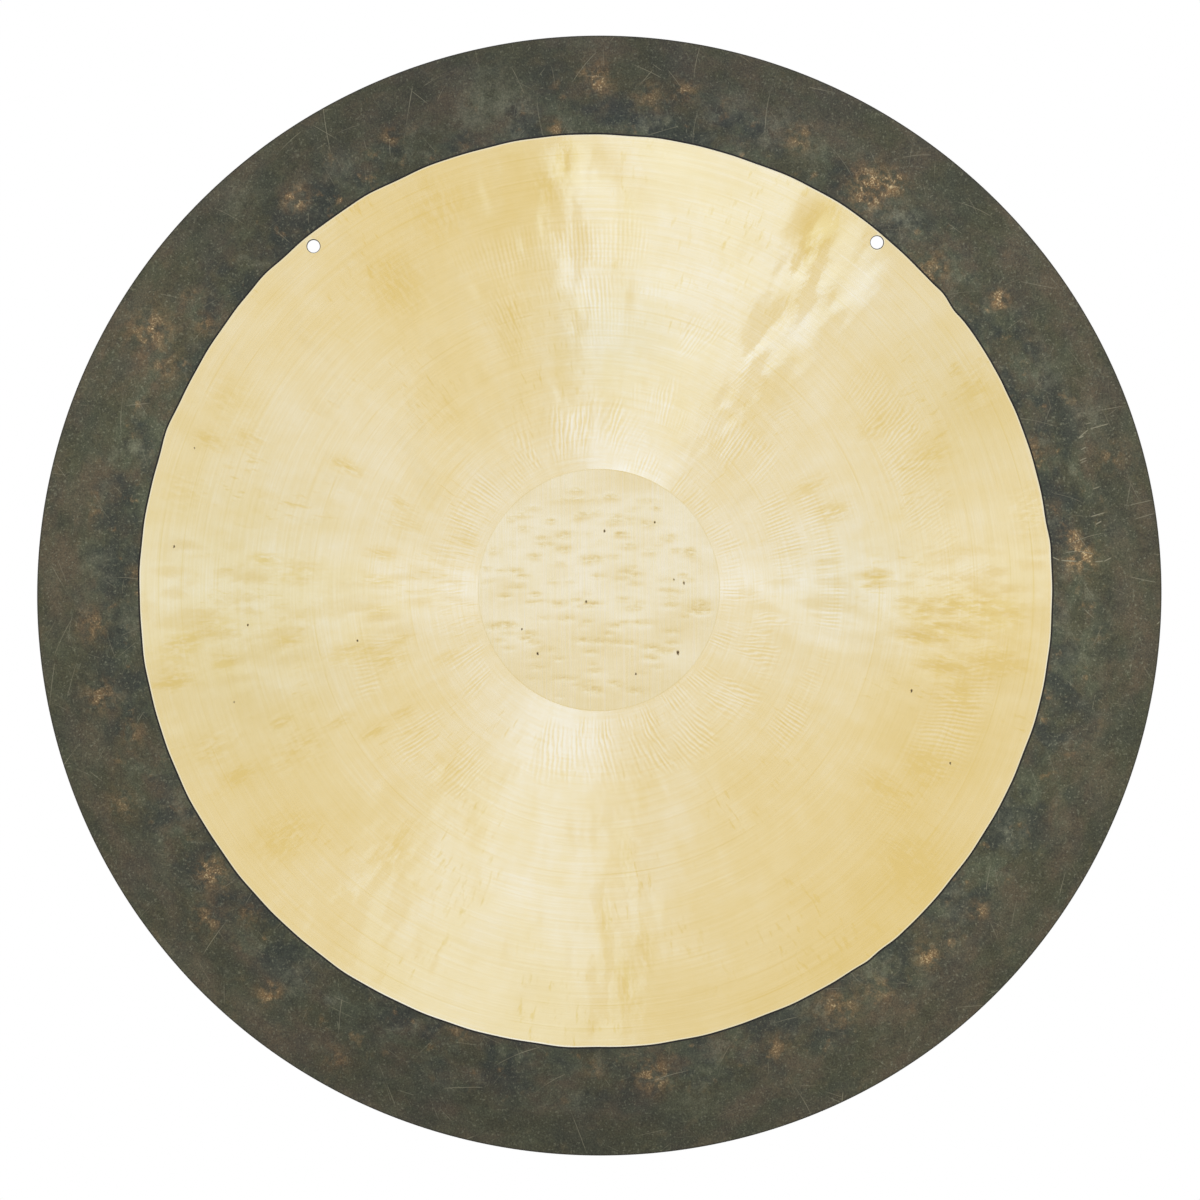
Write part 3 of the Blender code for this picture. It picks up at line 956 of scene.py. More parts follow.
faceLook = {
    "deepColour": (0.765, 0.575, 0.215),
    "goldColour": (0.815, 0.655, 0.330),
    "paleColour": (0.860, 0.755, 0.510),
    "shoulderColour": (0.84, 0.73, 0.46),
    "tone": 0.64,  # where the colour lies between deep (0), gold (0.5) and pale (1)
    "roughness": 0.25,
    "anisotropic": 1.0,
    "brushTurn": 0.25,  # of a full turn, between the map's u and the brushing
    "frontRings": 64,
    "backRings": 36,
    "grooveDepth": 0.0000040,
    "groovePitch": 0.0022,
    "grooveChanges": 2.2,  # in a radian round
    "coarseShare": 0.15,
    "smearChanges": (26.0, 9.0),  # in a metre outwards and in a radian round
    "streakChanges": (92.0, 76.0),
    "grooveTone": 0.30,
    "chatterTone": 0.26,
    # change of tone by each pattern
    "towardsRimTone": -0.12,
    "towardsCentreTone": 0.16,
    "cloudTone": 0.50,
    "smearTone": 0.62,
    "streakTone": -0.45,
    "dentBlotchTone": -0.75,
    "towardsRim": (0.17, 0.285),  # radii between which the change sets in
    "towardsCentre": (0.078, 0.13),
    # scale, detail and roughness of its noises, and where five numbers stand, their low and high level
    "clouds": (13.0, 4.0, 0.6),
    "smears": (1.0, 4.0, 0.62),
    "streaks": (1.0, 3.0, 0.6, 0.55, 0.74),
    "streakPlaces": (17.0, 2.0, 0.5, 0.46, 0.64),
    "brokenUp": (1.3, 4.0, 0.65, 0.34, 0.62),
    "toolLinePlaces": (0.8, 2.0, 0.5, 0.38, 0.55),
    "roughClouds": (30.0, 3.0, 0.55),
    "ripples": (88.0, 3.0, 0.42),
    "roughnessChange": 0.05,
    "toolLineWidth": (0.0001, 0.0007),  # half widths of its core and of the whole
    "shoulderEdge": (0.0006, 0.0009),  # metres from the seam
    # planishing dents, longer along the radius than across it
    "dentSeed": 5,
    "dentCount": 1500,
    "dentRing": (0.082, 0.286),
    "dentReach": (0.0022, 0.0060),
    "dentStretch": (1.6, 3.4),
    "dentDepth": (0.00002, 0.00012),
    "innerFade": (0.0012, 0.006),  # from the centre outwards: where the dents begin and are full
    # azimuth, radius, reach across, stretch, depth of the deeper blows
    "heavyBlows": (
        (33.2, 0.260, 0.0178, 1.4, 0.00112), (43.8, 0.256, 0.0178, 1.5, -0.00112),
        (34.8, 0.206, 0.0142, 1.6, 0.00070), (44.6, 0.208, 0.0142, 1.6, -0.00074),
        (46.7, 0.2655, 0.0042, 1.0, 0.00060), (47.0, 0.241, 0.0042, 1.2, 0.00045),
        (57.8, 0.280, 0.0036, 1.0, 0.00030), (31.0, 0.273, 0.0050, 1.5, 0.00036),
        (33.0, 0.262, 0.0050, 2.0, -0.00030), (36.0, 0.248, 0.0065, 2.0, 0.00050),
        (32.5, 0.244, 0.0045, 1.6, 0.00030), (34.5, 0.232, 0.0055, 1.8, -0.00034),
        (38.0, 0.222, 0.0060, 1.8, 0.00042), (34.0, 0.214, 0.0048, 1.7, 0.00036),
        (36.5, 0.204, 0.0055, 1.6, -0.00030), (40.0, 0.240, 0.0050, 1.5, 0.00030),
        (33.5, 0.192, 0.0055, 1.8, 0.00040), (37.0, 0.180, 0.0050, 1.8, 0.00032),
        (35.0, 0.166, 0.0055, 1.6, -0.00028), (38.5, 0.156, 0.0050, 1.8, 0.00036),
        (34.0, 0.146, 0.0045, 1.6, 0.00030), (38.0, 0.134, 0.0048, 1.6, 0.00030),
        (41.5, 0.122, 0.0045, 1.6, 0.00026), (36.0, 0.112, 0.0040, 1.6, 0.00022),
        (43.0, 0.230, 0.0050, 1.6, 0.00020), (-4.0, 0.272, 0.0045, 2.2, 0.00026),
        (-6.5, 0.240, 0.0050, 2.6, 0.00022), (-3.5, 0.205, 0.0045, 2.4, 0.00018),
        (-5.0, 0.170, 0.0045, 2.2, 0.00016), (3.0, 0.262, 0.0040, 1.8, 0.00012),
        (15.0, 0.230, 0.0045, 2.2, 0.00010), (175.0, 0.205, 0.0070, 2.2, 0.00036),
        (171.5, 0.180, 0.0060, 2.0, -0.00024), (176.5, 0.150, 0.0060, 2.0, 0.00026),
        (178.5, 0.266, 0.0040, 2.6, 0.00030), (176.0, 0.250, 0.0040, 2.4, 0.00028),
        (180.5, 0.240, 0.0045, 2.6, 0.00030), (177.5, 0.222, 0.0045, 2.4, 0.00030),
        (174.5, 0.206, 0.0040, 2.2, 0.00024), (179.5, 0.196, 0.0045, 2.4, 0.00030),
        (176.0, 0.178, 0.0040, 2.2, 0.00024), (180.0, 0.158, 0.0042, 2.2, 0.00024),
        (173.0, 0.140, 0.0040, 2.0, 0.00020), (170.5, 0.232, 0.0040, 2.0, 0.00022),
        (171.5, 0.170, 0.0040, 2.0, 0.00020), (182.5, 0.212, 0.0045, 2.2, 0.00018),
        (88.0, 0.178, 0.0040, 2.0, 0.00024), (94.5, 0.212, 0.0035, 3.4, 0.00030),
        (96.5, 0.226, 0.0035, 3.2, 0.00028), (99.0, 0.205, 0.0035, 3.6, 0.00034),
        (103.5, 0.222, 0.0040, 2.6, 0.00026), (106.0, 0.240, 0.0040, 2.2, 0.00024),
        (91.5, 0.246, 0.0035, 3.0, 0.00020), (74.0, 0.236, 0.0045, 2.0, 0.00022),
        (78.5, 0.206, 0.0045, 2.2, 0.00018), (66.0, 0.196, 0.0045, 2.0, 0.00020),
        (69.0, 0.150, 0.0040, 2.0, 0.00020), (84.0, 0.146, 0.0040, 2.2, 0.00018),
        (-76.0, 0.250, 0.0050, 2.2, 0.00018), (-68.0, 0.205, 0.0045, 2.2, 0.00020),
        (-92.0, 0.222, 0.0045, 2.6, 0.00018), (-98.0, 0.196, 0.0045, 2.6, 0.00020),
        (-110.0, 0.214, 0.0045, 2.4, 0.00020), (-118.0, 0.262, 0.0045, 2.0, 0.00018),
        (-84.0, 0.262, 0.0045, 2.0, 0.00018), (-104.0, 0.236, 0.0040, 2.8, 0.00022),
        (-114.0, 0.180, 0.0040, 2.2, 0.00018), (-140.0, 0.150, 0.0042, 2.2, 0.00022),
        (-146.0, 0.236, 0.0045, 2.2, 0.00022), (-137.0, 0.206, 0.0045, 2.0, 0.00020),
    ),
    # painted reflection: lighter and darker places where the studio's brighter and darker parts show in the
    # turned metal; azimuth, radius, half width in degrees, reach along the radius, change of tone
    "reflectionToneFields": (
        (136, 0.262, 30, 0.070, -0.26), (150, 0.170, 26, 0.060, -0.14), (150, 0.270, 22, 0.040, -0.10),
        (-27, 0.200, 14, 0.110, -0.18), (-128, 0.230, 26, 0.090, -0.10), (-60, 0.235, 22, 0.080, 0.10),
        (-78, 0.150, 26, 0.050, 0.10), (80, 0.150, 30, 0.060, 0.12), (95, 0.265, 12, 0.030, -0.20),
        (66, 0.270, 6, 0.030, -0.22), (31.5, 0.274, 4, 0.020, -0.40), (110, 0.215, 14, 0.050, -0.12),
        (-140, 0.105, 20, 0.030, 0.20), (-12, 0.255, 8, 0.040, -0.14), (160, 0.240, 12, 0.090, 0.14),
        (-9, 0.190, 4, 0.120, -0.10), (20, 0.150, 20, 0.040, -0.06), (-92, 0.200, 16, 0.110, -0.12),
        (-126, 0.130, 26, 0.040, -0.14), (48, 0.270, 14, 0.030, 0.14), (176, 0.280, 30, 0.020, -0.12),
    ),
    # the same for duller, cooler metal
    "dullPlaces": (
        (-92, 0.230, 26, 0.090, 0.75), (4, 0.160, 14, 0.035, 0.55), (88, 0.160, 14, 0.050, 0.45),
        (60, 0.260, 14, 0.040, 0.35),
    ),
    "dullTint": (0.91, 0.95, 1.0),
    # the same for small darker blotches, painted reflection where the dents break up the reflected light,
    # which the material breaks up
    "dentBlotchFields": (
        (94, 0.204, 1.6, 0.012, 0.7), (98.5, 0.206, 1.0, 0.014, 1.0), (87.5, 0.178, 1.4, 0.007, 1.0),
        (96.5, 0.222, 1.3, 0.016, 0.8), (102.5, 0.226, 1.6, 0.016, 0.9), (106.5, 0.238, 2.2, 0.014, 0.8),
        (92.5, 0.232, 1.8, 0.018, 0.8), (93.5, 0.256, 2.0, 0.016, 0.8), (100.5, 0.260, 1.8, 0.016, 0.7),
        (118.0, 0.236, 2.4, 0.014, 0.6), (124.5, 0.214, 2.4, 0.016, 0.5), (131.0, 0.262, 3.0, 0.016, 0.6),
        (72.0, 0.158, 2.2, 0.010, 0.9), (64.5, 0.150, 2.0, 0.012, 0.7), (60.0, 0.205, 2.0, 0.012, 0.5),
        (68.5, 0.226, 2.6, 0.014, 0.7), (32.0, 0.272, 2.0, 0.014, 1.0), (32.5, 0.250, 1.6, 0.010, 0.7),
        (34.5, 0.214, 2.0, 0.012, 0.5), (5.0, 0.248, 1.2, 0.008, 0.4), (-33.0, 0.232, 5.0, 0.022, 0.45),
        (-22.0, 0.262, 4.0, 0.020, 0.5), (-17.0, 0.180, 4.0, 0.020, 0.4), (-40.0, 0.150, 5.0, 0.018, 0.3),
        (-3.5, 0.276, 1.2, 0.012, 0.8), (-6.5, 0.258, 2.0, 0.012, 0.6), (80.0, 0.278, 3.0, 0.010, 0.6),
        (62.0, 0.272, 3.0, 0.012, 0.6), (-108.0, 0.140, 3.0, 0.014, 0.7), (-104.0, 0.160, 2.0, 0.018, 0.6),
        (-118.0, 0.215, 3.0, 0.020, 0.5), (-128.0, 0.250, 3.0, 0.018, 0.6), (-95.0, 0.240, 2.0, 0.020, 0.5),
        (-86.0, 0.190, 2.2, 0.020, 0.5), (-70.0, 0.130, 3.0, 0.014, 0.4), (-141.0, 0.205, 2.2, 0.020, 0.6),
        (-99.0, 0.270, 3.0, 0.012, 0.5), (-112.0, 0.262, 2.6, 0.014, 0.5), (-62.0, 0.262, 3.0, 0.014, 0.4),
        (-76.0, 0.268, 2.6, 0.012, 0.4), (176.0, 0.250, 1.4, 0.018, 0.6), (172.5, 0.228, 1.4, 0.016, 0.5),
        (179.0, 0.206, 1.2, 0.018, 0.5), (174.0, 0.170, 1.6, 0.016, 0.4), (-84.0, 0.211, 1.0, 0.008, 0.9),
        (-79.8, 0.139, 1.4, 0.008, 0.8), (-86.8, 0.138, 1.2, 0.008, 0.9), (-94.7, 0.138, 1.2, 0.007, 0.8),
        (-100.4, 0.239, 1.0, 0.007, 1.0), (-96.8, 0.262, 1.0, 0.008, 0.9), (-69.1, 0.086, 2.0, 0.006, 0.7),
        (-63.2, 0.176, 1.2, 0.010, 1.0), (-98.7, 0.197, 1.0, 0.008, 0.8), (-103.6, 0.126, 1.4, 0.008, 0.7),
        (-121.9, 0.165, 1.2, 0.009, 0.9), (-116.6, 0.182, 1.0, 0.008, 0.8),
        (-112.1, 0.216, 1.0, 0.008, 0.8), (-116.8, 0.254, 1.0, 0.009, 1.0),
        (-113.6, 0.103, 1.8, 0.008, 0.6), (-121.7, 0.144, 1.4, 0.008, 0.7), (-65.4, 0.135, 1.4, 0.009, 0.7),
        (-68.3, 0.262, 1.2, 0.010, 0.7), (-65.5, 0.239, 1.2, 0.010, 0.6), (-101.9, 0.275, 0.9, 0.012, 0.9),
    ),
    # where the sheet was worked over most, as azimuth, radius, half width, reach, strength
    "workedPlaces": (
        (34, 0.250, 6, 0.030, 1.0), (35, 0.200, 6, 0.040, 1.0), (38, 0.140, 8, 0.030, 1.0),
        (-4, 0.240, 4, 0.050, 0.7), (177, 0.240, 6, 0.050, 1.0), (176, 0.160, 7, 0.050, 0.9),
        (98, 0.225, 12, 0.040, 1.0), (-100, 0.220, 16, 0.050, 0.6), (-142, 0.220, 8, 0.050, 0.8),
        (70, 0.230, 10, 0.040, 0.5), (-145, 0.140, 12, 0.030, 0.8), (-4, 0.140, 6, 0.050, 0.5),
        (66, 0.150, 10, 0.030, 0.6),
    ),
    # radius and darkness of single deeper tool lines
    "toolLines": (
        (0.1792, 0.22), (0.2625, 0.20), (0.2395, 0.12), (0.1510, 0.12), (0.2770, 0.20), (0.1180, 0.12),
    ),
    # ripples of a singing tool: waves in a turn, lean, inner and outer radius,
    # azimuth of the middle, half the arc, depth
    "chatter": (
        (226, 0, 0.0770, 0.0960, 100, 86, 0.000013), (206, -500, 0.080, 0.126, -8, 15, 0.000019),
        (206, 400, 0.079, 0.128, 178, 22, 0.000017), (226, 300, 0.078, 0.108, -78, 56, 0.000010),
        (250, 700, 0.092, 0.128, 124, 36, 0.000010), (380, 0, 0.136, 0.160, 100, 34, 0.000009),
        (512, 0, 0.198, 0.240, -7, 4, 0.000006), (490, 900, 0.196, 0.234, 66, 12, 0.000007),
        (330, 500, 0.108, 0.150, 38, 15, 0.000010), (440, -700, 0.150, 0.196, 37, 9, 0.000009),
        (560, 600, 0.215, 0.262, 108, 14, 0.000006), (360, -400, 0.120, 0.168, -128, 20, 0.000007),
        (460, 300, 0.150, 0.205, -7, 4, 0.000006), (330, 0, 0.112, 0.136, 76, 18, 0.000009),
    ),
    "rippleDepth": (0.00006, 0.00042),  # everywhere, and more where the sheet was worked over
    "pitDepth": 0.0002,
    "pitColour": (0.09, 0.05, 0.02),
    # x, z from the lathe's axis and half height, mm
    "pits": (
        (199.2, -64.4, 1.0), (223.4, -110.3, 0.7), (-266.8, 29.9, 0.8), (-220.5, -19.9, 0.7),
        (-151.1, -30.5, 0.8), (-229.4, -69.0, 0.6), (-253.4, 92.1, 0.6),
    ),
}


# dents longer along the radius, in their own directions u across and v along it, summed over the rows
# (azimuth, radius, reach, stretch, depth): -depth * exp(-(u / reach)^2 - (v / (stretch * reach))^2)
def streakField(x, y, rows):
    height = np.zeros_like(x)
    for azimuth, radius, reach, stretch, depth in rows:
        sine, cosine = math.sin(math.radians(azimuth)), math.cos(math.radians(azimuth))
        across, along = x * cosine - y * sine, x * sine + y * cosine - radius
        near = (abs(across) < 3 * reach) & (abs(along) < 3 * reach * stretch)
        square = (across[near] / reach) ** 2 + (along[near] / (reach * stretch)) ** 2
        height[near] -= depth * np.exp(-square)
    return height


def planishingDents():
    look = faceLook
    chance = np.random.default_rng(look["dentSeed"])
    count, (inner, outer) = look["dentCount"], look["dentRing"]
    radius = np.sqrt(chance.uniform(inner**2, outer**2, count))
    rows = [chance.uniform(-180, 180, count), radius]
    rows += [chance.uniform(*look[name], count) for name in ("dentReach", "dentStretch", "dentDepth")]
    return np.concatenate([np.stack(rows, 1), np.array(look["heavyBlows"])])


faceDents = planishingDents()


def faceSection():
    inner, outer = sheet["centreRadius"], sheet["faceRadius"]
    first, last = inner + sheet["centreStepWidth"], outer - sheet["shoulderWidth"]
    front = np.linspace(first, last, faceLook["frontRings"] + 1)
    back = np.linspace(first, last, faceLook["backRings"] + 1)
    frontHeight, backHeight = np.full(len(front), turned), np.full(len(back), turned)
    rimHalf = sheet["rimThickness"] / 2
    radius = np.concatenate([[inner, inner], front, [outer, outer, outer], back[::-1], [inner]])
    offset = np.concatenate([[0, brushed], frontHeight, [rimHalf, 0, -rimHalf], -backHeight, [-brushed]])
    side = np.concatenate([[0, 1], np.ones(len(front)), [1, 0, -1], -np.ones(len(back)), [-1]])
    return radius, offset, side, 3 + len(front)


# planishing dents, fading out at both seams so that the pieces meet
def faceRelief(x, y):
    fromCentre = np.hypot(x - sheet["centreShift"][0], y - sheet["centreShift"][1]) - sheet["centreRadius"]
    fromSeam = sheet["faceRadius"] - np.hypot(x, y)
    fade = smoothStep(fromCentre, *faceLook["innerFade"]) * smoothStep(fromSeam, *sheet["seamFade"])
    return fade * streakField(x, y, faceDents)


def faceValues(x, y, radius, side):
    behindX, behindY = turnedBehind(x, y, side)
    numbers = {"side": side, "seamDistance": sheet["faceRadius"] - radius}
    fields = {"paintedReflectionShift": "reflectionToneFields", "dull": "dullPlaces", "smudgeAndReflectionBlotch": "dentBlotchFields", "worked": "workedPlaces"}
    for label, rows in fields.items():
        numbers[label] = polarField(behindX, behindY, faceLook[rows])
    return numbers


# colour between deep (tone 0), gold (0.5) and pale (1)
def toneColour(tree, tone, look):
    low = calc(tree, "MULTIPLY", tone, 2.0, clamp=True)
    high = calc(tree, "MULTIPLY_ADD", tone, 2.0, -1.0, clamp=True)
    return blend(tree, high, blend(tree, low, look["deepColour"], look["goldColour"]), look["paleColour"])


# tone + amount * (change - zero)
def addTone(tree, tone, change, amount, zero=0.0):
    if zero:
        change = minus(tree, change, zero)
    return plus(tree, tone, times(tree, change, amount))


def faceMaterial():
    look = faceLook
    material, tree, shader = newMaterial("turnedBronze", look["roughness"])
    place, side = whereabouts(tree)
    seam = kept(tree, "seamDistance")

    fineRound = roundTheAxis(tree, place, side, 1 / look["groovePitch"], look["grooveChanges"])
    given = {"Round": fineRound["Round"], "Depth": look["grooveDepth"], "Coarse Share": look["coarseShare"]}
    grooves = useGroup(tree, turnedGrooves, given)
    smearedRound = roundTheAxis(tree, place, side, *look["smearChanges"])["Round"]
    streakyRound = roundTheAxis(tree, place, side, *look["streakChanges"])["Round"]
    radius = fineRound["Radius"]

    # painted reflection: lighter and darker places where the studio's brighter and darker parts show in the
    # metal
    tone = plus(tree, kept(tree, "paintedReflectionShift"), look["tone"])
    tone = addTone(tree, tone, rise(tree, radius, *look["towardsRim"]), look["towardsRimTone"])
    tone = addTone(tree, tone, rise(tree, radius, *look["towardsCentre"]), -look["towardsCentreTone"], 1.0)
    tone = addTone(tree, tone, noise(tree, place, *look["clouds"]), look["cloudTone"], 0.5)
    tone = addTone(tree, tone, noise(tree, smearedRound, *look["smears"]), look["smearTone"], 0.5)
    streaks = cutNoise(tree, streakyRound, *look["streaks"])
    streakPlaces = cutNoise(tree, place, *look["streakPlaces"])
    tone = addTone(tree, tone, times(tree, streaks, streakPlaces), look["streakTone"])
    brokenUp = cutNoise(tree, streakyRound, *look["brokenUp"])
    # painted reflection: darker blotches where the dents break up the reflected light
    tone = addTone(tree, tone, times(tree, kept(tree, "smudgeAndReflectionBlotch"), brokenUp), look["dentBlotchTone"])
    tone = addTone(tree, tone, grooves["Tone"], look["grooveTone"])

    height = grooves["Height"]
    given = {"Radius": radius, "Azimuth": fineRound["Azimuth"], "Round": smearedRound}
    ragged = useGroup(tree, chatterPlace, given)
    ragged = {name: ragged[name] for name in ("Radius", "Azimuth", "Bend", "Strength")}
    for waves, lean, inner, outer, middle, half, depth in look["chatter"]:
        given = {
            **ragged, "Plain Azimuth": fineRound["Azimuth"], "Waves": waves, "Lean": lean, "Inner": inner,
            "Outer": outer, "Middle": math.radians(middle), "Half Arc": math.radians(half), "Depth": depth,
        }
        marks = useGroup(tree, chatterMarks, given)
        height = plus(tree, height, marks["Height"])
        tone = addTone(tree, tone, marks["Marks"], look["chatterTone"])
    patchy = cutNoise(tree, smearedRound, *look["toolLinePlaces"])
    for ring, darkness in look["toolLines"]:
        away = calc(tree, "ABSOLUTE", minus(tree, radius, ring))
        line = times(tree, fall(tree, away, *look["toolLineWidth"]), patchy)
        tone = addTone(tree, tone, line, -darkness)
    colour = toneColour(tree, tone, look)
    colour = blend(tree, kept(tree, "dull"), colour, look["dullTint"], "MULTIPLY")
    shoulder = fall(tree, seam, *look["shoulderEdge"])
    colour = blend(tree, shoulder, colour, look["shoulderColour"])
    inPit = pitMarks(tree, place, side, look["pits"])
    colour = blend(tree, inPit, colour, look["pitColour"])
    feed(tree, shader.inputs["Base Color"], colour)
    shader.inputs["Metallic"].default_value = 1.0
    # the noise is about 0.5, so half of the change is taken off first
    cloud, change = noise(tree, place, *look["roughClouds"]), look["roughnessChange"]
    feed(tree, shader.inputs["Roughness"], scaled(tree, cloud, change, look["roughness"] - change / 2))
    everywhere, whereWorked = look["rippleDepth"]
    rippleDepth = scaled(tree, kept(tree, "worked"), whereWorked, everywhere)
    ripple = times(tree, noise(tree, place, *look["ripples"]), rippleDepth)
    height = minus(tree, plus(tree, height, ripple), times(tree, inPit, look["pitDepth"]))
    bumpFrom(tree, shader, height)
    brushedAlong(tree, shader, look["anisotropic"], look["brushTurn"])
    return material


# unit normal of the sheet in the flat frame, from its rise over a short step each way
def flatNormal(x, y, step=0.001):
    fallToRight = heightAt(x - step, y) - heightAt(x + step, y)
    fallToTop = heightAt(x, y - step) - heightAt(x, y + step)
    return Vector((fallToRight, fallToTop, 2 * step)).normalized()


# spool that drills one hole and breaks both its edges: a section (radius, height) turned about its axis
def holeCutter(name, x, y, material):
    waist = turned - sheet["holeChamfer"]
    end = turned + sheet["drillOverrun"]
    bore = sheet["holeRadius"]
    flare = bore + sheet["holeChamfer"] + sheet["drillOverrun"]
    section = np.array([(0, end), (flare, end), (bore, waist), (bore, -waist), (flare, -end), (0, -end)])
    around = sheet["drillSteps"]
    angle = np.linspace(0, 2 * math.pi, around, endpoint=False)[:, None]
    outward, upward = section[None, 1:-1, 0], section[None, 1:-1, 1]
    points = np.stack([outward * np.cos(angle), outward * np.sin(angle), upward + 0 * angle], -1)
    points = np.concatenate([points.reshape(-1, 3), [(0, 0, end), (0, 0, -end)]])
    tilt = np.array(flatNormal(x, y).to_track_quat("Z", "Y").to_matrix())
    points = points @ tilt.T + (x, y, heightAt(x, y))
    columns = len(section) - 2
    grid = gridCorners(around, columns - 1)
    quads = (grid[..., 0] % around) * columns + grid[..., 1]
    step, after = np.arange(around) * columns, (np.arange(around) + 1) % around * columns
    top = np.stack([np.full(around, around * columns), step, after], 1)
    bottom = np.stack([np.full(around, around * columns + 1), after + columns - 1, step + columns - 1], 1)
    corners = np.concatenate([quads.ravel(), top.ravel(), bottom.ravel()])
    sizes = np.concatenate([np.full(len(quads), 4), np.full(2 * around, 3)])
    uv = np.tile((0.5, 0.5), (len(corners), 1))
    cutter = meshObject(name, standUp(points[:, 0], points[:, 1], points[:, 2]), corners, sizes, uv)
    cutter.data.materials.append(material)
    return cutter


holeLook = {
    # the drilled walls and chamfers: dark oxide, with painted shade inside the holes
    "grimeAndShadeColour": (0.030, 0.025, 0.020),
    "shadedBareColour": (0.070, 0.055, 0.035),
    "grimeAndShade": (900.0, 3.0, 0.6, 0.35, 0.65),  # scale, detail and roughness of its noise, low and high level
    "roughness": 0.5,
    "metallic": 0.3,
}


def holeMaterial():
    look = holeLook
    material, tree, shader = newMaterial("drilledEdge", look["roughness"])
    place = addNode(tree, "ShaderNodeTexCoord").outputs["Object"]
    grimeAndShade = cutNoise(tree, place, *look["grimeAndShade"])
    # dark oxide and painted shade on the hole's walls and chamfers
    colour = blend(tree, grimeAndShade, look["grimeAndShadeColour"], look["shadedBareColour"])
    feed(tree, shader.inputs["Base Color"], colour)
    shader.inputs["Metallic"].default_value = look["metallic"]
    return material


gongFace = ringPiece("gong_face", faceSection(), sheet["around"], faceRelief, faceValues)
gongFace.data.materials.append(faceMaterial())
edgeMaterial = holeMaterial()
drills = zip(("leftDrill", "rightDrill"), holePlaces)
cutters = [holeCutter(name, x, y, edgeMaterial) for name, (x, y) in drills]
for cutter in cutters:
    drill = gongFace.modifiers.new(cutter.name, "BOOLEAN")
    drill.operation = "DIFFERENCE"
    drill.solver = "EXACT"
    drill.material_mode = "TRANSFER"
    drill.object = cutter
drilled = bpy.data.meshes.new_from_object(gongFace.evaluated_get(bpy.context.evaluated_depsgraph_get()))
gongFace.modifiers.clear()
gongFace.data = drilled
for cutter in cutters:
    bpy.data.objects.remove(cutter, do_unlink=True)
finishPiece(gongFace, 8)
print("turned face made and drilled,", len(gongFace.data.polygons), "faces")


# the brushed middle

centreLook = {
    "deepColour": (0.690, 0.520, 0.215),
    "goldColour": (0.785, 0.645, 0.345),
    "paleColour": (0.850, 0.745, 0.500),
    "pitColour": (0.10, 0.055, 0.022),
    "tone": 0.74,
    "roughness": 0.27,
    "anisotropic": 1.0,
    "brushTurn": 0.0,
    "around": 512,
    "frontRings": 96,
    "backRings": 40,
    "brushPitch": 0.0017,
    "brush": (12.0, 2.0),  # changes in a metre upwards, detail
    "fineBrush": (30.0, 1.0),
    "fineShare": 0.4,  # of the pitch
    "fineToneShare": 0.7,
    "drawnOut": 2.6,  # how much wider than high the painted dent shade and the smears are
    # scale, detail and roughness of its noises, and where five numbers stand, their low and high level
    "dentShadeBreakup": (260.0, 4.0, 0.65, 0.34, 0.66),
    "smears": (110.0, 3.0, 0.6),
    "clouds": (40.0, 4.0, 0.6),
    "roughnessChange": 0.06,
    "darkerEdge": (0.0002, 0.0010),  # metres from the edge, within which the middle turns darker towards its edge
    "brushTone": 0.52,
    "backShift": 0.7,  # gives the back brush lines of its own
    "shadeAndSmearBackShift": 0.3,
    "dentSeed": 23,
    "dentCount": 150,
    "dentsWithin": 0.071,
    "dentReach": (0.0028, 0.0064),  # half width; they are lower than wide
    "dentFlat": 0.36,
    "dentDepth": (0.00003, 0.00009),
    "edgeFade": (0.001, 0.005),  # from the edge inwards: where the dents begin and are full
    "dentShadeShift": 0.0006,
    "brushDepth": 0.000004,
    "pitDepth": 0.0002,
    # change of tone by each pattern
    "dentShadeTone": -0.62,
    "smearTone": 0.34,
    "cloudTone": 0.32,
    "edgeTone": 0.25,
    "pits": (
        (-6.4, -6.7, 0.9), (-37.2, -39.2, 1.0), (51.4, -39.4, 1.3), (55.6, 4.7, 0.9), (5.6, 38.0, 0.9),
        (37.4, 43.3, 0.7), (-46.9, -23.8, 0.6), (24.8, -52.7, 0.7), (49.3, 7.0, 0.6),
    ),
}


def centreDentRows():
    look = centreLook
    chance = np.random.default_rng(look["dentSeed"])
    count = look["dentCount"]
    radius = look["dentsWithin"] * np.sqrt(chance.uniform(0, 1, count))
    angle = chance.uniform(0, 2 * math.pi, count)
    reach = chance.uniform(*look["dentReach"], count)
    depth = chance.uniform(*look["dentDepth"], count)
    return np.stack([radius * np.cos(angle), radius * np.sin(angle), reach, depth], 1)


# dents wider than high: -depth * exp(-(dx / reach)^2 - (dy / (flat * reach))^2)
def centreDents(x, y):
    height = np.zeros_like(x)
    for dentX, dentY, wide, deep in centreDentRows():
        square = ((x - dentX) / wide) ** 2 + ((y - dentY) / (centreLook["dentFlat"] * wide)) ** 2
        height -= deep * np.exp(-square)
    return height


def centreRelief(x, y):
    fromCentre = np.hypot(x - sheet["centreShift"][0], y - sheet["centreShift"][1])
    fade = smoothStep(sheet["centreRadius"] - fromCentre, *centreLook["edgeFade"])
    return fade * centreDents(x, y)


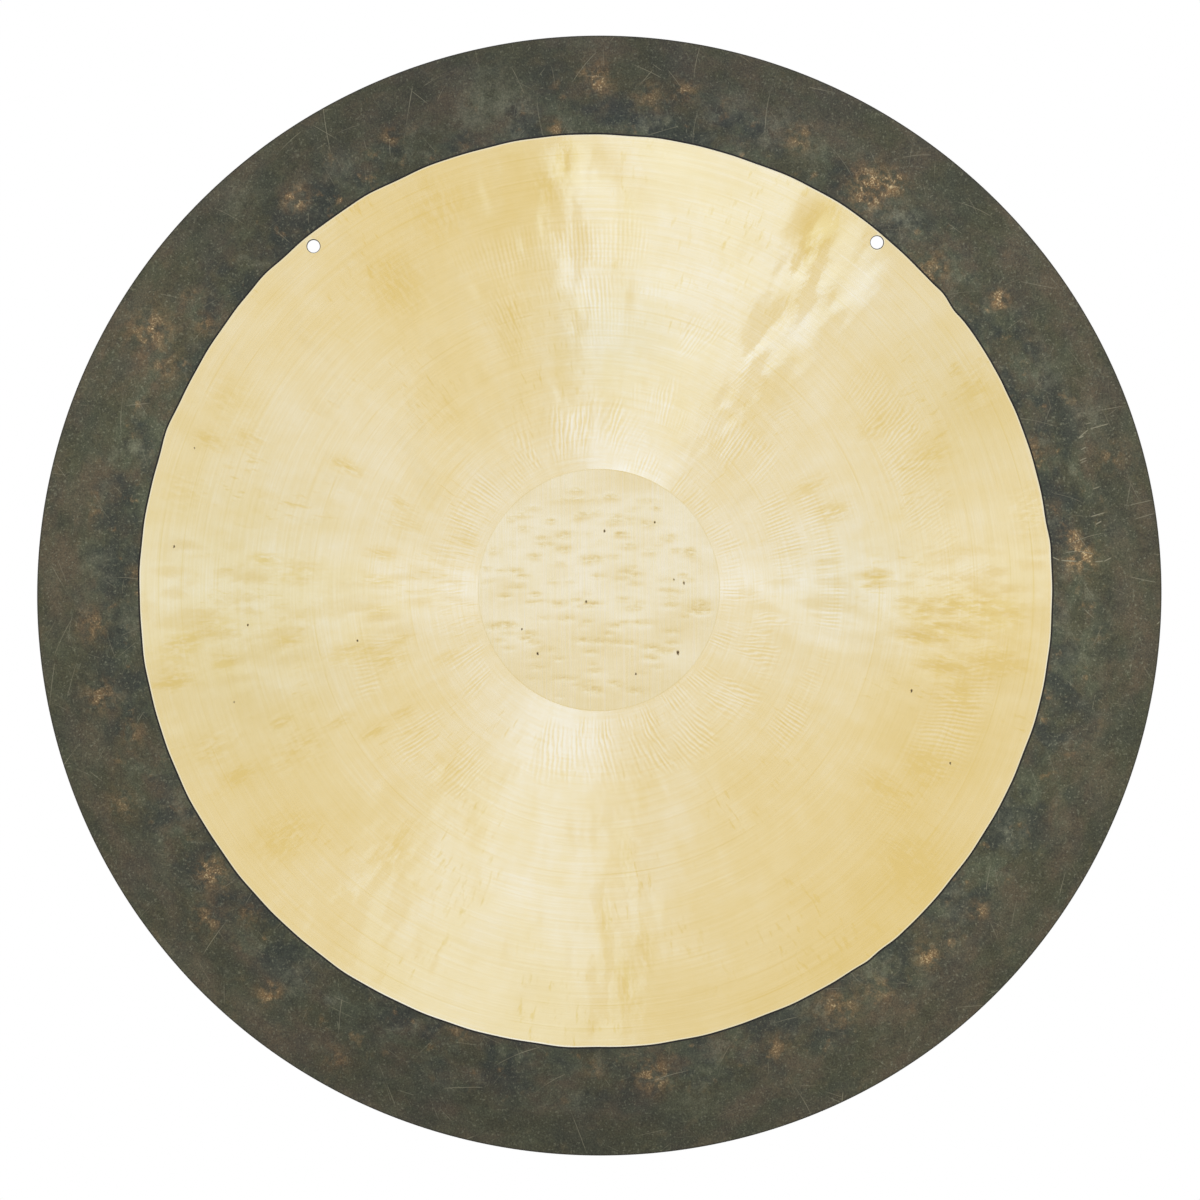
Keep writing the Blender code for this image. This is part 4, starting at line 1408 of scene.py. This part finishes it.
# section from the middle of the front to the middle of the back, with one point at each end
def discPiece(name, section, around, relief, values):
    grids, numbers = carryRound(section, around, relief, values)
    radius, offset, _, middle = section
    columns = len(radius)
    points = np.concatenate([grids[:1, 0], grids[:1, -1], grids[:, 1:-1].reshape(-1, 3)])

    # number of the point at a turn step and a section place: both ends come first
    def pointNumber(step, place):
        inside = 2 + (step % around) * (columns - 2) + place - 1
        return np.where(place == 0, 0, np.where(place == columns - 1, 1, inside))

    grid = gridCorners(around, columns - 1)
    first, last = grid[:, 0, 1] == 0, grid[:, 0, 1] == columns - 2
    quads, starts, ends = grid[~first & ~last], grid[first][:, :3], grid[last][:, [0, 1, 3]]
    places = np.concatenate([quads.reshape(-1, 2), starts.reshape(-1, 2), ends.reshape(-1, 2)])
    corners = pointNumber(places[:, 0], places[:, 1])
    sizes = np.concatenate([np.full(len(quads), 4), np.full(len(starts) + len(ends), 3)])
    frontQuads = np.repeat(quads[:, 0, 1] < middle, 4)
    isFront = np.concatenate([frontQuads, np.full(3 * len(starts), True), np.full(3 * len(ends), False)])
    along = np.append(0, np.cumsum(np.hypot(np.diff(radius), np.diff(offset))))
    uv = discMap(places, isFront, along, middle, around)
    onPoints = {}
    for label, field in numbers.items():
        onPoints[label] = np.concatenate([field[:1, 0], field[:1, -1], field[:, 1:-1].ravel()])
    return meshObject(name, points, corners, sizes, uv, onPoints)


# two discs in opposite corners of the map, the front's at upper left
def discMap(places, isFront, along, middle, around):
    place = along[places[:, 1]]
    onBack = (along[-1] - place) / (along[-1] - along[middle])
    fromMiddle = np.where(places[:, 1] <= middle, place / along[middle], onBack)
    turn = places[:, 0] * 2 * math.pi / around
    near, far, discRadius = 0.29, 0.71, 0.28
    right, up = discRadius * fromMiddle * np.cos(turn), discRadius * fromMiddle * np.sin(turn)
    front, back = np.stack([near + right, far + up], -1), np.stack([far - right, near + up], -1)
    return np.where(isFront[:, None], front, back)


def centreSection():
    front = np.linspace(0, sheet["centreRadius"], centreLook["frontRings"] + 1)
    back = np.linspace(0, sheet["centreRadius"], centreLook["backRings"] + 1)
    radius = np.concatenate([front, [sheet["centreRadius"]], back[::-1]])
    offset = np.concatenate([np.full(len(front), brushed), [0], np.full(len(back), -brushed)])
    side = np.concatenate([np.ones(len(front)), [0], -np.ones(len(back))])
    return radius, offset, side, len(front)


# painted shade in the upper part of each dent: the dents' own sum, taken a little lower down
def centreValues(x, y, radius, side):
    dentShade = np.clip(-centreDents(x, y - centreLook["dentShadeShift"]) / centreLook["dentDepth"][1], 0, 1)
    return {"side": side, "edgeDistance": sheet["centreRadius"] - radius, "dentShade": dentShade}


def centreMaterial():
    look = centreLook
    material, tree, shader = newMaterial("brushedCentre", look["roughness"])
    place, side = whereabouts(tree)
    part = split(tree, place)

    # long upright brush lines: a noise that changes fast across and slowly upwards
    def brushLines(pitch, upwards, detail):
        across = times(tree, scaled(tree, side, look["backShift"], part[0]), 1 / pitch)
        return noise(tree, join(tree, across, 0.0, times(tree, part[2], upwards)), 1.0, detail, 0.6)

    brush = brushLines(look["brushPitch"], *look["brush"])
    fineBrush = brushLines(look["brushPitch"] * look["fineShare"], *look["fineBrush"])
    across = scaled(tree, side, look["shadeAndSmearBackShift"], part[0])
    drawnOut = join(tree, across, 0.0, times(tree, part[2], look["drawnOut"]))
    dentShadeBreakup = cutNoise(tree, drawnOut, *look["dentShadeBreakup"])
    # painted shade: the upper part of each dent darker, broken up by a noise
    tone = times(tree, times(tree, kept(tree, "dentShade"), dentShadeBreakup), look["dentShadeTone"])
    tone = addTone(tree, tone, noise(tree, drawnOut, *look["smears"]), look["smearTone"], 0.5)
    tone = addTone(tree, tone, brush, look["brushTone"], 0.5)
    tone = addTone(tree, tone, fineBrush, look["brushTone"] * look["fineToneShare"], 0.5)
    tone = addTone(tree, tone, noise(tree, place, *look["clouds"]), look["cloudTone"], 0.5)
    tone = plus(tree, tone, look["tone"])
    edge = rise(tree, kept(tree, "edgeDistance"), *look["darkerEdge"])
    tone = addTone(tree, tone, edge, look["edgeTone"], 1.0)
    colour = toneColour(tree, tone, look)

    inPit = pitMarks(tree, place, side, look["pits"])
    colour = blend(tree, inPit, colour, look["pitColour"])
    feed(tree, shader.inputs["Base Color"], colour)
    shader.inputs["Metallic"].default_value = 1.0
    change = look["roughnessChange"]
    feed(tree, shader.inputs["Roughness"], scaled(tree, brush, change, look["roughness"] - change / 2))
    height = minus(tree, times(tree, brush, look["brushDepth"]), times(tree, inPit, look["pitDepth"]))
    bumpFrom(tree, shader, height)
    brushedAlong(tree, shader, look["anisotropic"], look["brushTurn"])
    return material


gongCentre = discPiece("gong_centre", centreSection(), centreLook["around"], centreRelief, centreValues)
gongCentre.data.materials.append(centreMaterial())
finishPiece(gongCentre, 30)
print("brushed middle made,", len(gongCentre.data.polygons), "faces")


# floor, lamps, background and camera

studio = {
    "floorDrop": 0.30,  # below the gong's lowest point
    "floorRadius": 3.0,
    "floorSteps": (96, 12),  # faces round and outwards
    "floorColour": (0.80, 0.80, 0.79),
    "floorRoughness": 0.9,
    "seenWhite": (0.7, 2.6),  # metres from the gong between which the floor turns white to the camera
    "mirroredWhite": (0.1, 0.8),  # the same in metal
    "diffuseLight": (0.80, 0.78, 0.74),
    # fan-shaped light panels: name, azimuth clockwise from the top, half width, from and to metres off
    # the axis, distance in front (behind where negative), brightness over the background
    "panels": (
        ("keyPanel", 14.5, 19.5, 0.60, 2.8, 2.2, 1.30),
        ("keyPanelBelow", 195.5, 17.0, 0.20, 0.62, 1.0, 0.72),
        ("backKeyPanel", -14.5, 19.5, 0.60, 2.8, -2.2, 1.30),
        ("backKeyPanelBelow", 164.5, 17.0, 0.20, 0.62, -1.0, 0.72),
    ),
    # level strips across the front and back: name, half width, from and to metres above the axis,
    # distance in front, brightness
    "strips": (("levelStrip", 2.4, -0.03, 0.15, 2.2, 0.60), ("backLevelStrip", 2.4, -0.03, 0.15, -2.2, 0.60)),
    "panelColour": (0.18, 0.37, 1.0),
    # soft lamps for everything else: name, azimuth, off axis, distance, across, along, watts, colour
    "lamps": (
        ("frontLamp", 14, 58, 3.2, 1.6, 0.8, 5.0, (1.0, 1.0, 1.0)),
        ("backLamp", -14, 122, 3.2, 1.6, 0.8, 5.0, (1.0, 1.0, 1.0)),
    ),
    "panelSteps": 8,  # faces along each side of a panel
    "cameraDistance": 6.0,
    "lens": 284.4,
    "aimShift": (0.00044, -0.00255),
    "roll": 0.386,
}


# soft lamp in the plane through the lathe's axis at its azimuth, its long side across that plane
def addLamp(name, azimuth, offAxis, distance, across, along, watts, colour):
    turn, lean = math.radians(azimuth), math.radians(offAxis)
    aim = Vector((-sheet["holesOffCentre"], 0, -holeHeight))
    outward = Vector((math.sin(turn), 0, math.cos(turn)))
    arm = outward * math.sin(lean) + Vector((0, -math.cos(lean), 0))
    sideways = Vector((math.cos(turn), 0, -math.sin(turn)))
    light = bpy.data.lights.new(name, "AREA")
    light.shape = "RECTANGLE"
    light.size, light.size_y = across, along
    light.energy = watts
    light.color = colour
    lamp = bpy.data.objects.new(name, light)
    bpy.context.scene.collection.objects.link(lamp)
    facing = Matrix((sideways, arm.cross(sideways), arm)).transposed().to_4x4()
    lamp.matrix_world = Matrix.Translation(aim + arm * distance) @ facing
    lamp.visible_camera = False


# a reflector seen only in the metal, from a square grid of places off the axis at one distance ahead
def addPanel(name, x, z, ahead, level):
    points = np.stack([x - sheet["holesOffCentre"], np.full_like(x, -ahead), z - holeHeight], -1)
    steps = studio["panelSteps"]
    grid = gridCorners(steps, steps)
    corners = grid[..., 0] * (steps + 1) + grid[..., 1]
    panel = meshObject(name, points.reshape(-1, 3), corners.ravel(), np.full(len(grid), 4))
    material = bpy.data.materials.new(name)
    material.use_nodes = True
    tree = material.node_tree
    tree.nodes.remove(tree.nodes["Principled BSDF"])
    glow = addNode(tree, "ShaderNodeEmission")
    glow.inputs["Color"].default_value = (*studio["panelColour"], 1)
    glow.inputs["Strength"].default_value = level
    clear = addNode(tree, "ShaderNodeBsdfTransparent")
    both = addNode(tree, "ShaderNodeAddShader")
    feed(tree, both.inputs[0], glow.outputs[0])
    feed(tree, both.inputs[1], clear.outputs[0])
    feed(tree, tree.nodes["Material Output"].inputs["Surface"], both.outputs[0])
    panel.data.materials.append(material)
    panel.visible_camera = False
    panel.visible_shadow = False
    panel.visible_diffuse = False


# sector of a circle round the axis: places at (distance off the axis, azimuth)
def addFanPanel(name, azimuth, halfWidth, start, end, ahead, level):
    places = studio["panelSteps"] + 1
    along = np.linspace(start, end, places)[:, None]
    turn = np.radians(azimuth + halfWidth * np.linspace(-1, 1, places))
    addPanel(name, along * np.sin(turn), along * np.cos(turn), ahead, level)


def addStrip(name, halfWidth, low, high, ahead, level):
    places = studio["panelSteps"] + 1
    x, z = np.meshgrid(np.linspace(-halfWidth, halfWidth, places), np.linspace(low, high, places))
    addPanel(name, x, z, ahead, level)


# flat disc floor from polar rings
def addFloor(level):
    around, outwards = studio["floorSteps"]
    rings = np.linspace(0, studio["floorRadius"], outwards + 1)[1:]
    angle = np.linspace(0, 2 * math.pi, around, endpoint=False)
    x, y = rings[None] * np.cos(angle[:, None]), rings[None] * np.sin(angle[:, None])
    ringPoints = np.stack([x, y, np.full_like(x, level)], -1).reshape(-1, 3)
    points = np.concatenate([ringPoints, [(0, 0, level)]])
    grid = gridCorners(around, len(rings) - 1)
    quads = (grid[..., 0] % around) * len(rings) + grid[..., 1]
    step = np.arange(around)
    centre = np.full(around, around * len(rings))
    middleFan = np.stack([centre, step * len(rings), (step + 1) % around * len(rings)], 1)
    corners = np.concatenate([quads.ravel(), middleFan.ravel()])
    return meshObject("studioFloor", points, corners, np.append(np.full(len(quads), 4), np.full(around, 3)))


# pale floor that keeps the shadow near the gong and melts into the white background further out
def floorMaterial():
    material, tree, shader = newMaterial("studioFloor", studio["floorRoughness"])
    shader.inputs["Base Color"].default_value = (*studio["floorColour"], 1)
    place = split(tree, addNode(tree, "ShaderNodeTexCoord").outputs["Object"])
    square = plus(tree, times(tree, place[0], place[0]), times(tree, place[1], place[1]))
    distance = calc(tree, "SQRT", square)
    path = addNode(tree, "ShaderNodeLightPath").outputs
    mirrored = larger(tree, path["Is Glossy Ray"], path["Is Transmission Ray"])
    white = addNode(tree, "ShaderNodeEmission")
    mixed = addNode(tree, "ShaderNodeMixShader")
    direct = times(tree, path["Is Camera Ray"], rise(tree, distance, *studio["seenWhite"]))
    inMetal = rise(tree, distance, *studio["mirroredWhite"])
    feed(tree, mixed.inputs[0], scaled(tree, mirrored, inMetal, direct))
    feed(tree, mixed.inputs[1], shader.outputs[0])
    feed(tree, mixed.inputs[2], white.outputs[0])
    feed(tree, tree.nodes["Material Output"].inputs["Surface"], mixed.outputs[0])
    return material


# white where it is seen directly or in metal, and a plain level of light on everything else
def addBackground():
    world = bpy.data.worlds.new("studio")
    bpy.context.scene.world = world
    world.use_nodes = True
    tree = world.node_tree
    path = addNode(tree, "ShaderNodeLightPath").outputs
    mirrored = larger(tree, path["Is Glossy Ray"], path["Is Transmission Ray"])
    seen = larger(tree, path["Is Camera Ray"], mirrored)
    colour = blend(tree, seen, studio["diffuseLight"], (1.0, 1.0, 1.0))
    feed(tree, tree.nodes["Background"].inputs["Color"], colour)
    tree.nodes["Background"].inputs["Strength"].default_value = 1.0


# looks along +Y at the middle of the outer edge, turned by the small roll of the view
def addCamera():
    lens = bpy.data.cameras.new("camera")
    lens.sensor_width = 36.0
    lens.lens = studio["lens"]
    lens.clip_start, lens.clip_end = 0.1, 100.0
    camera = bpy.data.objects.new("camera", lens)
    bpy.context.scene.collection.objects.link(camera)
    x = sheet["rimShift"][0] - sheet["holesOffCentre"] + studio["aimShift"][0]
    z = sheet["rimShift"][1] - holeHeight + studio["aimShift"][1]
    camera.location = (x, -studio["cameraDistance"], z)
    camera.rotation_euler = (math.pi / 2, math.radians(studio["roll"]), 0)
    bpy.context.scene.camera = camera


addCamera()
addBackground()
for row in studio["panels"]:
    addFanPanel(*row)
for row in studio["strips"]:
    addStrip(*row)
for row in studio["lamps"]:
    addLamp(*row)
floor = addFloor(cadBox[0][2] - studio["floorDrop"])
floor.data.materials.append(floorMaterial())
bpy.context.scene.view_settings.view_transform = "Standard"
print("studio ready")
